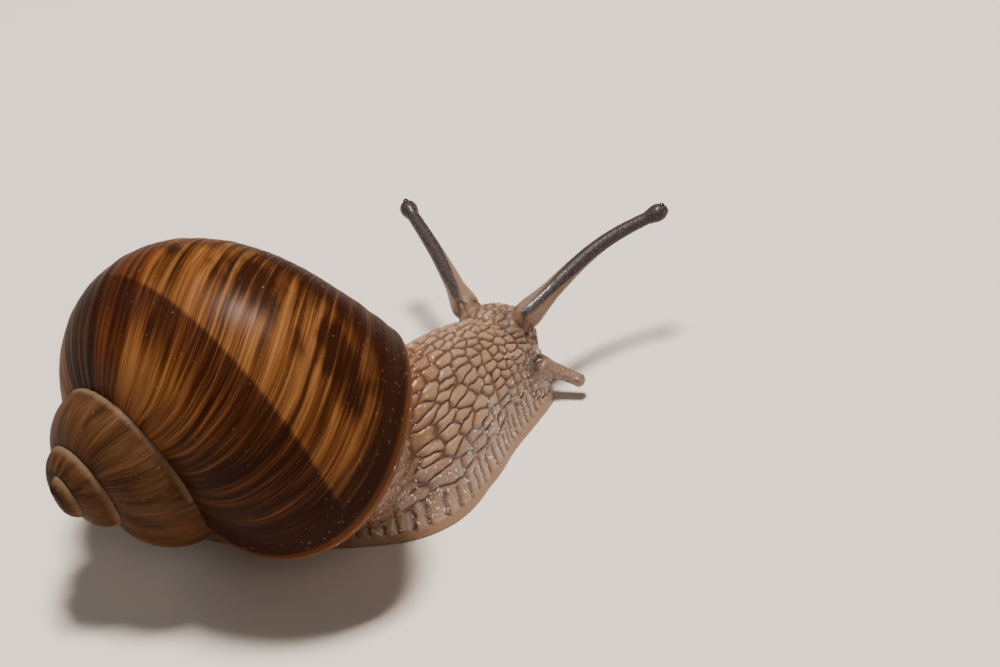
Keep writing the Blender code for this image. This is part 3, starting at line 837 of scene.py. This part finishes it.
mouth = lip_ring(160)
mouth_middle = mouth.mean(0)
mouth_faces = np.linalg.svd(mouth - mouth_middle)[2][2]  # the direction square to the mouth
mouth_faces *= np.sign(mouth_faces @ (np.array(HEAD_EGGS[0][0]) - mouth_middle))
out_of_mouth = (points - mouth_middle) @ mouth_faces
near_mouth = np.linalg.norm(points - mouth_middle, axis=1) < TUBE_RADIUS + 1
hidden = (out_of_mouth < BEHIND_MOUTH) & near_mouth & (points[:, 2] > COLUMN_TOP)
hidden |= points[:, 2] < SOLE_TOP
group = maker.vertex_groups.new(name="hidden")
group.add(np.flatnonzero(hidden).tolist(), 1.0, "REPLACE")
thin = maker.modifiers.new("thin", "DECIMATE")
thin.vertex_group = "hidden"
thin.ratio = min(1.0, max(1 - hidden.mean() * (1 - HIDDEN_KEPT), LEAST_KEPT))
skin_mesh, points = made_of(maker)
bpy.data.objects.remove(maker)
bpy.data.meshes.remove(melted)
skin_mesh.name = "body_skin"
points[:, 2] = np.maximum(points[:, 2], 0)
print("hidden share", round(float(hidden.mean()), 2))
print("skin:", len(points), "points,", len(skin_mesh.polygons), "faces")

# %% [markdown]
# ## The middle line
#
# Wrinkles follow the body, not the axes, and the body is bent. So its middle line is laid out as
# points close together, and goes on through the head, past the last section of the foot. Each
# point knows how far it is from the tail and which way the body faces there. Unwrapping the body
# would tell the same, but only after the bend had been pulled straight.

# %% The middle line
BLOCK = 20000  # points that are measured at once, to save memory
LINE_POINTS = 500
FRONT_REACH, FRONT_POINTS = 9.0, 60  # the line goes on this far, in mm, past the last section
HEAD_Y, BEFORE_HEAD_X = 4.6, 5.0  # the head starts where the line passes this y, beyond this x
OUT_OF_REACH = 99.0


def nearest_on(path, wanted):
    """For each wanted point, the number of the nearest point of a path, and how far it is."""
    found, far = np.empty(len(wanted), int), np.empty(len(wanted))
    for start in range(0, len(wanted), BLOCK):
        step = wanted[start:start + BLOCK, None] - path[None]
        squares = (step ** 2).sum(-1)
        found[start:start + BLOCK] = squares.argmin(1)
        far[start:start + BLOCK] = np.sqrt(squares.min(1))
    return found, far


line = spline(BODY_STATIONS, np.linspace(0, len(BODY_STATIONS) - 1, LINE_POINTS))
ahead_of_foot = np.array([[math.cos(HEADING), math.sin(HEADING)]])
front = np.linspace(0, 1, FRONT_POINTS + 1)[1:, None] * FRONT_REACH * ahead_of_foot
front = np.concatenate([line[-1, :2] + front, np.repeat(line[-1:, 2:], FRONT_POINTS, 0)], 1)
head_spot = np.argmin(np.abs(line[:, 1] - HEAD_Y) + (line[:, 0] < BEFORE_HEAD_X) * OUT_OF_REACH)
line = np.concatenate([line, front])
gone = np.concatenate([[0], np.cumsum(np.linalg.norm(np.diff(line[:, :2], axis=0), axis=1))])
ahead = np.gradient(line[:, :2], axis=0)
ahead /= np.linalg.norm(ahead, axis=1, keepdims=True)
head_starts = gone[head_spot]
print("the head starts", round(head_starts), "mm from the tail")

# %% [markdown]
# ## Where each point of the skin is
#
# Each point of the skin is given numbers of its own: how far along the middle line it is, how
# far round from the back, how far up the flank. Painting such masks by hand would do too, but
# the distances give them all at once. The edge of a snail's foot spreads a little on the ground,
# and it is spread here, because that needs the same numbers.

# %% Where each point of the skin is
TAIL_ENDS, TAIL_IS_THIN = 26.0, 8.0  # in mm from the tip of the tail
NECK_RISES = (-15.0, -8.0)  # in mm from the start of the head
FLARE, FLARE_HIGH = 0.55, 2.6  # the foot's edge spreads outwards by this much, below this height
AXLE_HIGH = 0.35  # the pads fan out from a line at this share of the height

spot, _ = nearest_on(line[:, :2], points[:, :2])
offset = points[:, :2] - line[spot, :2]
along = gone[spot] + (offset * ahead[spot]).sum(1)
across = offset[:, 1] * ahead[spot, 0] - offset[:, 0] * ahead[spot, 1]
tail = s_curve(along, TAIL_ENDS, TAIL_IS_THIN)
side_half, back_high = np.where(across > 0, line[spot, 3], line[spot, 2]), line[spot, 4]
half = np.maximum(side_half, 5.0 - 3.0 * tail)
neck = s_curve(along, *(head_starts + gap for gap in NECK_RISES))
high = np.maximum(back_high, 4.0 - 2.4 * tail + 6.0 * neck)
up_flank = points[:, 2] * (10.0 / np.clip(back_high, 2.5, 10.0)) ** 0.8  # the tail has its rim lower
axle = AXLE_HIGH * high
round_back = np.arctan2(across / half, (points[:, 2] - axle) / (high - axle))
out_of_mouth = (points - mouth_middle) @ mouth_faces
rim = np.clip(1 - points[:, 2] / FLARE_HIGH, 0, 1) ** 2
rim *= np.clip(np.abs(across) / side_half, 0, 1) ** 4
points[:, :2] += (FLARE * rim / np.maximum(np.abs(across), 0.5))[:, None] * offset
print("the skin is", round(along.max()), "mm long along its middle line")

# %% [markdown]
# ## Rounding the feelers again
#
# The feelers were thinned by the melting, because smoothing always shrinks thin things. Their
# points are put back on the tube that the formula gives, and each keeps its share of the feeler's
# length, and whether it lies on the striped side. A finer remesh would shrink them less, but it
# would make the whole body too heavy.

# %% Round the feelers again
STRIPE_TO = np.array([-0.15, -0.7, 0.65])  # the side of a feeler that its dark stripe lies on
ROUNDED_UPPER, ROUNDED_LOWER = (0.22, 0.34), (0.5, 0.7)  # from these shares of the length on
ROUNDED_WITHIN, ROUNDED_TO = 1.8, 0.95  # in radii from the middle line, and before this share
FEELER_FROM, FEELER_EDGE = (0.2, 2.4), (2.4, 1.6)  # in mm from the root, and in radii
NOWHERE = 20.0  # mm; as good as far away

feeler, feeler_top, feeler_share, upper = (np.zeros(len(points)) for _ in range(4))
to_root = np.full(len(points), NOWHERE)
for routes, radii, rounded in ((UPPER_ROUTES, UPPER_RADII, ROUNDED_UPPER),
                               (LOWER_ROUTES, LOWER_RADII, ROUNDED_LOWER)):
    for route in routes.values():
        path, share, length = feeler_path(route)
        axis = (path[-1] - path[0]) / np.linalg.norm(path[-1] - path[0])
        striped = STRIPE_TO - (STRIPE_TO @ axis) * axis
        striped /= np.linalg.norm(striped)
        spot_on, far = nearest_on(path, points)
        radius, gone_on = feeler_radius(radii, share[spot_on]), share[spot_on] * length
        hold = s_curve(share[spot_on], *rounded) * (far < ROUNDED_WITHIN * radius)
        hold = hold * (share[spot_on] < ROUNDED_TO)
        away = points - path[spot_on]
        points += hold[:, None] * away * (radius / np.maximum(far, 1e-6) - 1)[:, None]
        near = s_curve(gone_on, *FEELER_FROM) * s_curve(far / radius, *FEELER_EDGE)
        mine = near > feeler
        feeler[mine], upper[mine] = near[mine], float(routes is UPPER_ROUTES)
        feeler_top[mine] = (away @ striped / np.maximum(far, 1e-6))[mine]
        feeler_share[mine] = share[spot_on][mine]
        to_root = np.minimum(to_root, np.linalg.norm(points - path[0], axis=1))
to_low_root = np.full(len(points), NOWHERE)
for route in LOWER_ROUTES.values():
    to_low_root = np.minimum(to_low_root, np.linalg.norm(points - np.array(route[0]), axis=1))
print("points on feelers:", int((feeler > 0.5).sum()))

# %% [markdown]
# ## Rows of pads
#
# On the neck the pads lie in long rows, and on the tail there is room for fewer rows. A pattern
# of even cells fits such rows when it is read at two numbers that are stretched to suit: one
# counts pads along the body, and one counts rows round the back. They go on the points with the
# rest, for the shape and the colour to read. Scaling a plain pattern would stretch all pads alike.

# %% Rows of pads
NECK_PAD, HEAD_PAD = 2.2, 1.55  # length of a pad in mm
PAD_ROWS = 6.6  # in a radian round the back
OVERHANG = 0.54  # the shell's shade moves down the body by this much per mm of height
PADS_SHRINK, PADS_ROUND = (-5.0, 3.0), (5.0, 7.0)  # mm from the start of the head
ROUND_BY_MOUTH, NOT_ON_TAIL = (5.4, 4.6), 12.0  # mm before the shell's mouth, mm from the tail
ALL_ROWS_HALF, MOST_LOST = 7.0, 0.6  # half width in mm that has room for all rows; share of them

nearly_head = s_curve(gone, *(head_starts + gap for gap in PADS_SHRINK))
pad_long = NECK_PAD + (HEAD_PAD - NECK_PAD) * nearly_head
pads_gone = np.concatenate([[0], np.cumsum(np.diff(gone) / pad_long[1:])])
rows_kept = 1 - tail * np.clip(1 - half / ALL_ROWS_HALF, 0, MOST_LOST)
round_in_front = s_curve(along, *(head_starts + gap for gap in PADS_ROUND))
round_by_mouth = s_curve(out_of_mouth, *ROUND_BY_MOUTH) * (along > NOT_ON_TAIL)
_, to_lip = nearest_on(lip_ring(200), points)
skin_numbers = {
    "pad_row": round_back * PAD_ROWS * rows_kept,
    "pad_along": np.interp(along, gone, pads_gone),
    "along": along,
    "east": points[:, 0],
    "north": points[:, 1],
    "height": points[:, 2],
    "up_flank": up_flank,
    "feeler": feeler,
    "upper": upper,
    "feeler_top": feeler_top,
    "feeler_share": feeler_share,
    "to_root": to_root,
    "to_low_root": to_low_root,
    "from_shell": out_of_mouth + OVERHANG * points[:, 2],
    "to_lip": np.clip(to_lip, 0, NOWHERE),
    "round_pads": np.maximum(round_in_front, round_by_mouth),
}
skin_mesh.vertices.foreach_set("co", (points * MM).astype(np.float32).ravel())
for name, values in skin_numbers.items():
    number_on_points(skin_mesh, name, values)
print("each point of the skin holds", len(skin_numbers), "numbers")

# %% [markdown]
# ## A mosaic
#
# A snail's skin is a mosaic of soft pads with wet grooves between them. A Voronoi pattern has
# just this look. The node's own Distance to Edge would leave pads with straight sides, while the
# distance to the second nearest point less that to the nearest rounds them. So a mosaic is made
# of two Voronoi nodes.

# %% A mosaic
def mosaic(writer, x, y, z, loose, space="2D"):
    """Cells round scattered points. Returns how far a place is from the edge of its cell, as the
    distance to the second nearest point less that to the nearest, and the cell's own colour."""
    inputs = {"Vector": writer.place(x, y, z), "Scale": 1.0, "Randomness": loose}
    nearest, second = (
        writer.node("ShaderNodeTexVoronoi", {"feature": feature, "voronoi_dimensions": space}, inputs)
        for feature in ("F1", "F2"))
    return second - nearest, Reading(writer, nearest.socket.node.outputs[1])


trial = bpy.data.node_groups.new("trial", "ShaderNodeTree")
mosaic(Finish(trial), 0.0, 0.0, 0.0, 0.5)
print("a mosaic takes", len(trial.nodes), "nodes")
bpy.data.node_groups.remove(trial)

# %% [markdown]
# ## Pads and wrinkles
#
# There are long pads in rows on the neck, small round ones on the head, and upright strips above
# the foot's smooth rim. The same few nodes are written twice: once to push the skin's points out
# and once to colour it, so the dark grooves lie exactly in the cut ones. Baking the pattern to an
# image once would do for both, but fine grooves would need a huge image.

# %% Pads and wrinkles
STRIP = 1.05  # width of the upright strips above the foot's rim, in mm
BUTTON = 0.80  # size of the round pads on the head and by the lower feelers, in mm
PAD_LOOSE, BUTTON_LOOSE = 0.72, 0.9  # 0 would be an even grid, 1 is quite irregular
STRIPS_BELOW, RIM_BELOW = (4.4, 3.9), (1.50, 1.00)  # mm up the flank
BUTTONS_BY_ROOT, BARE_BY_ROOT = (4.6, 4.0), (0.9, 2.4)  # mm from the roots of the lower feelers
SHALLOW_BY_ROOT, BARE_BY_LIP = (0.9, 1.8), (2.6, 4.0)  # mm from any feeler's root, and from the lip
BARE_FEELER = (0.62, 0.20)  # share of being on a feeler
BACK_LINE = (0.05, 0.0)  # a groove runs along the back, where the row squared is less than this
PAD_SLOPE, GROOVE_BED = (0.50, 0.0), (0.20, 0.03)  # distance from the edge of a pad, in pads


def skin_pattern(writer):
    """Long pads, upright strips and round pads, and which of them hold where. Returns how deep
    down the side of a pad a point is, from 0 to 1, the same for the thin groove at the bottom, a
    random tone for each pad, and the share of the smooth rim."""
    east, north, height = (writer.read(name) for name in ("east", "north", "height"))
    row, up_flank, low_root = (writer.read(name) for name in ("pad_row", "up_flank", "to_low_root"))
    bend = writer.noise(writer.place(east, north, height), size=1.9, detail=1.0) - 0.5
    ripple = writer.noise(writer.place(height, east, north), size=1.7, detail=1.0) - 0.5
    aside, askew = bend * 0.55, ripple * 0.50

    pad_edge, pad_tone = mosaic(writer, writer.read("pad_along") + aside, row + askew, 0.0, PAD_LOOSE)
    button_edge, button_tone = mosaic(
        writer, east / BUTTON + aside, north / BUTTON + askew, height / BUTTON, BUTTON_LOOSE, "3D")
    strips_gone = writer.read("along") / STRIP + bend * 0.7
    strip_edge = writer.node("ShaderNodeMath", {"operation": "PINGPONG"}, {0: strips_gone, 1: 0.5}) * 1.6

    by_root = writer.rise(low_root + bend * 2.0, *BUTTONS_BY_ROOT)
    round_pads = writer.read("round_pads")
    buttons = by_root + round_pads - by_root * round_pads
    strips = writer.rise(up_flank + ripple * 2.4, *STRIPS_BELOW)
    edge = pad_edge + (strip_edge - pad_edge) * strips
    edge = edge + (button_edge - edge) * buttons
    tone = pad_tone + (button_tone - pad_tone) * buttons

    smooth_rim = writer.rise(up_flank + ripple * 0.4, *RIM_BELOW)
    padded = (1.0 - smooth_rim) * writer.rise(writer.read("feeler"), *BARE_FEELER)
    padded = padded * writer.rise(writer.read("to_lip"), *BARE_BY_LIP) * writer.rise(low_root, *BARE_BY_ROOT)
    padded = padded * (0.35 + 0.65 * writer.rise(writer.read("to_root"), *SHALLOW_BY_ROOT))
    back_groove = writer.rise(row * row, *BACK_LINE) * 0.9
    slope = writer.rise(edge, *PAD_SLOPE)
    groove = writer.rise(edge, *GROOVE_BED)
    groove = (groove + back_groove - groove * back_groove) * padded
    return slope * padded, groove, tone, smooth_rim


print("pads are", NECK_PAD, "mm long on the neck and", HEAD_PAD, "mm on the head")

# %% [markdown]
# ## Cutting the grooves
#
# Real grooves catch the light, and they also break up the outline of the neck, which a painted
# bump can't. So the pattern moves the skin's own points, along their normals, in a small tree of
# geometry nodes. A Displace modifier moves points too, but its textures can't read the numbers
# on them.

# %% Cut the grooves
GROOVE_DEPTH = 0.28  # in mm
CUT_ABOVE = (0.05, 0.6)  # mm above the floor, so that the sole stays flat


class Shaping(Finish):
    """A tree that moves a mesh's points."""

    def read(self, name):
        """A number that the mesh holds on its points."""
        return self.node("GeometryNodeInputNamedAttribute", {"data_type": "FLOAT"}, {"Name": name})


carving = bpy.data.node_groups.new("carve_skin", "GeometryNodeTree")
for way in ("INPUT", "OUTPUT"):
    carving.interface.new_socket("Geometry", in_out=way, socket_type="NodeSocketGeometry")
writer = Shaping(carving)
slope, groove, _, _ = skin_pattern(writer)
level = (slope * -0.7 - groove * 0.3 + 0.35) * writer.rise(writer.read("height"), *CUT_ABOVE)
push = writer.node("ShaderNodeVectorMath", {"operation": "SCALE"},
                   {0: writer.node("GeometryNodeInputNormal"), "Scale": level * (GROOVE_DEPTH * MM)})
moved = writer.node("GeometryNodeSetPosition", {},
                    {"Geometry": writer.node("NodeGroupInput"), "Offset": push})
writer.node("NodeGroupOutput", {}, {0: moved})
skin = hang("body_skin", skin_mesh)
carve = skin.modifiers.new("carve", "NODES")
carve.node_group = carving
full, _ = made_of(skin)
skin.modifiers.remove(carve)
skin.data = full
bpy.data.node_groups.remove(carving)
bpy.data.meshes.remove(skin_mesh)
print("grooves are cut", GROOVE_DEPTH, "mm deep into", len(full.polygons), "faces")

# %% [markdown]
# ## A skin of a fixed weight
#
# The cut skin has more triangles than MOST_FACES. Decimate takes them first where the skin is
# nearly flat, so the grooves keep theirs. Larger squares in the remesh would save as many, but they
# would blunt every groove. The skin then takes the place of all the solids of the flesh.

# %% A skin of a fixed weight
MOST_FACES = 190000

full.calc_loop_triangles()
spare = skin.modifiers.new("spare", "DECIMATE")
spare.ratio = min(1.0, MOST_FACES / len(full.loop_triangles))
carved, _ = made_of(skin)
skin.modifiers.remove(spare)
skin.data = carved
bpy.data.meshes.remove(full)
carved.name = "body_skin"
carved.shade_smooth()
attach(skin, "root")
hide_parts(*[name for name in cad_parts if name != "shell" and not name.startswith("eye")])
print("the skin keeps", len(carved.polygons), "faces")

# %% [markdown]
# ## Wet and stained places
#
# The low parts of the body are wet, under the shell a film of slime has dried, and the edge of
# the mantle along the lip is stained. Each such place is one share from 0 to 1 with an uneven
# edge, which the colour and the gloss both read. Painted images could hold the same shares, but
# a formula still fits when the body's form is changed.

# %% Wet and stained places
MANTLE_EDGE = (3.2, 2.4)  # mm from the lip
FILM_EDGE, FILM_ROOM, FILM_FROM = (17.5, 14.8), (9.0, 13.0), (26.0, 32.0)  # mm; the last from the tail
WET_BELOW = (9.5, 6.0)  # mm above the floor
GLINT_EDGE, GLINT_ROOM = (0.735, 0.765), (1.6, 3.0)  # of the noise; mm from the lower feelers' roots
GRAIN, DROP, GLINT_SIZE, GLINT_PATCH, CLOUD = 0.00016, 0.00055, 0.00040, 0.0016, 0.0035  # sizes in metres

paint = Paint("wet_skin")
slope, groove, tone, smooth_rim = skin_pattern(paint)
height, from_shell, on_feeler = paint.read("height"), paint.read("from_shell"), paint.read("feeler")
here = paint.where()
grain = paint.noise(here, size=GRAIN, detail=2.0, roughness=0.6)
drops = paint.noise(here, size=DROP, detail=1.0)
cloud = paint.noise(here, size=CLOUD, detail=2.0)
film = paint.rise(from_shell + (cloud - 0.5) * 2.5, *FILM_EDGE) * paint.rise(paint.read("along"), *FILM_FROM)
film = film * paint.rise(from_shell, *FILM_ROOM)
mantle = paint.rise(paint.read("to_lip") + (grain - 0.5) * 1.0, *MANTLE_EDGE)
wet = paint.rise(height + (cloud - 0.5) * 8.0, *WET_BELOW) * (1.0 - smooth_rim)
wet = wet * (1.0 - mantle) + (film + mantle * 0.5) * (1.0 - wet) * 0.6
# Painted highlights: where this noise peaks, most of all on wet skin, whitish dots go into the colour as
# sparkles of light.
glint_noise = paint.noise(here, size=GLINT_SIZE, detail=1.0) + (paint.noise(here, size=GLINT_PATCH) - 0.5) * 0.14
painted_glints = paint.rise(glint_noise + wet * 0.07 + film * 0.01 - mantle * 0.01, *GLINT_EDGE)
painted_glints = painted_glints * paint.rise(paint.read("to_low_root"), *GLINT_ROOM)
print("places of the skin so far:", len(paint.tree.nodes), "nodes")

# %% [markdown]
# ## The colour of the feelers
#
# The feelers are smooth. Along one side of each long one runs a dark stripe, which widens until
# it goes right round below the eye, and fine pale dots are scattered over it. The stripe comes
# from the number that tells which side of the feeler a point is on, and the dots are the
# middles of Voronoi cells. A noise would give dots too, but they would run into each other.

# %% The colour of the feelers
STRIPE, STEM, PEARL = (0.024, 0.015, 0.016), (0.19, 0.112, 0.072), (0.17, 0.14, 0.135)
STRIPE_EDGE = (0.88, 1.04)  # of the number that is 1 in the middle of the striped side
DOTS_PER_METRE, DOT_EDGE = 3600.0, (0.42, 0.18)  # the edge in cells from the middle of one

top, upper_one, share_on = paint.read("feeler_top"), paint.read("upper"), paint.read("feeler_share")
stripe = paint.rise(top + share_on * share_on * 2.3 + (cloud - 0.5) * 0.10, *STRIPE_EDGE)
stem = paint.mix(stripe * (upper_one * 0.85 + 0.10), STEM, STRIPE)
dots = paint.node("ShaderNodeTexVoronoi", {"feature": "F1"},
                  {"Vector": here, "Scale": DOTS_PER_METRE, "Randomness": 1.0})
pearl = paint.rise(dots, *DOT_EDGE) * upper_one * on_feeler
stem = paint.mix(pearl * 0.38, stem, PEARL)
print("with the feelers:", len(paint.tree.nodes), "nodes")

# %% [markdown]
# ## The colour of the skin
#
# Wet flesh is pale and a little see-through on each pad, and dark purple brown in the grooves.
# Each pad is also painted darker down its sides, as shade towards the groove.
# Along the lip the slime has dried to orange brown. One mix after another lays its colour over
# what is there, as a painter would, from the pads up to the glints, which are painted highlights:
# whitish dots for the sparkle of light on wet skin. A real wet coat is a second gloss layer. Clear
# mesh round the skin could be one, but the shader has one built in.

# %% The colour of the skin
PAD, PAD_WARM, PAD_SIDE_SHADE = (0.34, 0.205, 0.115), (0.25, 0.135, 0.072), (0.140, 0.066, 0.046)
GROOVE, FLANK, RIM = (0.052, 0.023, 0.016), (0.130, 0.070, 0.054), (0.30, 0.175, 0.105)
MANTLE, FILM, PAINTED_GLINT = (0.120, 0.032, 0.004), (0.125, 0.040, 0.007), (0.75, 0.72, 0.68)
FLANK_BAND, FLANK_SOFT = (3.6, 7.0), 2.0  # mm above the floor
LOW_ROOT_SHADE, ROOT_SHADE = (4.2, 1.5), (3.3, 1.7)  # mm from the roots of the feelers
STEM_SHARE = (0.06, 0.40)  # of being on a feeler
SEE_THROUGH = (0.0012, 0.0006, 0.0004)  # how far red, green and blue light go in, in metres

colour = paint.mix(tone * 0.45 + cloud * 0.6 - 0.10, PAD, PAD_WARM)
colour = paint.mix(paint.band(height + (cloud - 0.5) * 4.0, *FLANK_BAND, FLANK_SOFT) * 0.40, colour, FLANK)
# Painted shade: each pad grows darker down its sides, towards the groove between pads.
colour = paint.mix(slope * 0.80, colour, PAD_SIDE_SHADE)
colour = paint.mix(groove * 0.74, colour, GROOVE)
colour = paint.mix(paint.rise(paint.read("to_low_root"), *LOW_ROOT_SHADE) * 0.35, colour, GROOVE)
colour = paint.mix(smooth_rim * 0.90, colour, RIM)
root_shade = paint.rise(paint.read("to_root") + (cloud - 0.5) * 1.5, *ROOT_SHADE)
colour = paint.mix(root_shade * 0.50, colour, STRIPE)
colour = paint.mix(paint.rise(on_feeler, *STEM_SHARE), colour, stem)
colour = paint.mix(film * 0.72, colour, FILM)
colour = paint.mix(mantle * 0.92, colour, MANTLE)
# Painted highlights: whitish glints of light mixed into the base colour, few on the feelers and none on the
# smooth rim.
colour = paint.mix(painted_glints * (1.0 - smooth_rim) * (0.8 - on_feeler * 0.7), colour, PAINTED_GLINT)

ripples = drops * wet * 2.6 + grain * 0.25 - slope * 0.5 + pearl * 0.6
glossy = 1.0 - mantle * 0.85 - film * 0.65
paint.wear(Base_Color=colour, Roughness=0.45 - wet * 0.10 + mantle * 0.3, Specular_IOR_Level=0.25,
           Subsurface_Weight=0.10, Subsurface_Radius=SEE_THROUGH, Subsurface_Scale=1.0,
           Coat_Weight=(wet * 0.75 + 0.10) * glossy, Coat_Roughness=0.04, Normal=paint.bump(ripples, 0.12))
carved.materials.clear()
carved.materials.append(paint.material)
print("skin finish:", len(paint.tree.nodes), "nodes")

# %% [markdown]
# ## The eyes
#
# An eye is a bead under clear skin at the tip of each upper feeler. It is nearly black and
# perfectly smooth, so a plain glossy finish with a faint cloud in it is all that it needs. The
# solids' own beads are coarse and stand out a little, so finer beads, set almost flush, replace
# them.

# %% The eyes
EYE_RADIUS, EYE_SHARE, EYE_RISE = 0.38, 0.975, 0.62  # mm, share of the feeler, mm above its middle
EYE_RINGS, EYE_SIDES, BEAD_POLE = 24, 40, 0.02  # the first ring is 0.02 radians from the pole
DEEP_BLACK, HAZY_BLACK = (0.003, 0.002, 0.002), (0.020, 0.012, 0.010)

paint = Paint("eye_gloss")
haze = paint.noise(paint.where(), size=0.00012, detail=3.0)
paint.wear(Base_Color=paint.mix(haze, DEEP_BLACK, HAZY_BLACK), Roughness=0.06 + haze * 0.06,
           Coat_Weight=1.0, Coat_Roughness=0.03)
down = np.linspace(BEAD_POLE, math.pi - BEAD_POLE, EYE_RINGS)[:, None]
ring = np.linspace(0, FULL_TURN, EYE_SIDES, endpoint=False)[None, :]
ball = np.stack([np.sin(down) * np.cos(ring), np.sin(down) * np.sin(ring), np.cos(down) + 0 * ring], -1)
for side_name, route in UPPER_ROUTES.items():
    path, share, _ = feeler_path(route)
    centre = path[np.argmin(np.abs(share - EYE_SHARE))] + np.array([0, 0, EYE_RISE])
    eye_mesh = tube_mesh("eye_bead_" + side_name, centre + EYE_RADIUS * ball[::-1])
    eye_mesh.materials.append(paint.material)
    eye = hang("eye_bead_" + side_name, eye_mesh)
    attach(eye, "root")
    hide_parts("eye_" + side_name)
print("eyes:", EYE_RADIUS * 2, "mm across")

# %% [markdown]
# ## The size
#
# The surfaces follow formulas and the solids were built from the same sizes, so both should fill
# the same box. The box of the pieces that are shown is measured and printed, which shows if a
# piece has slipped or was made in the wrong unit. Judging it by eye would miss a millimetre.

# %% The size
low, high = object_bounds()
print("pieces reach from", tuple(low), "to", tuple(high))
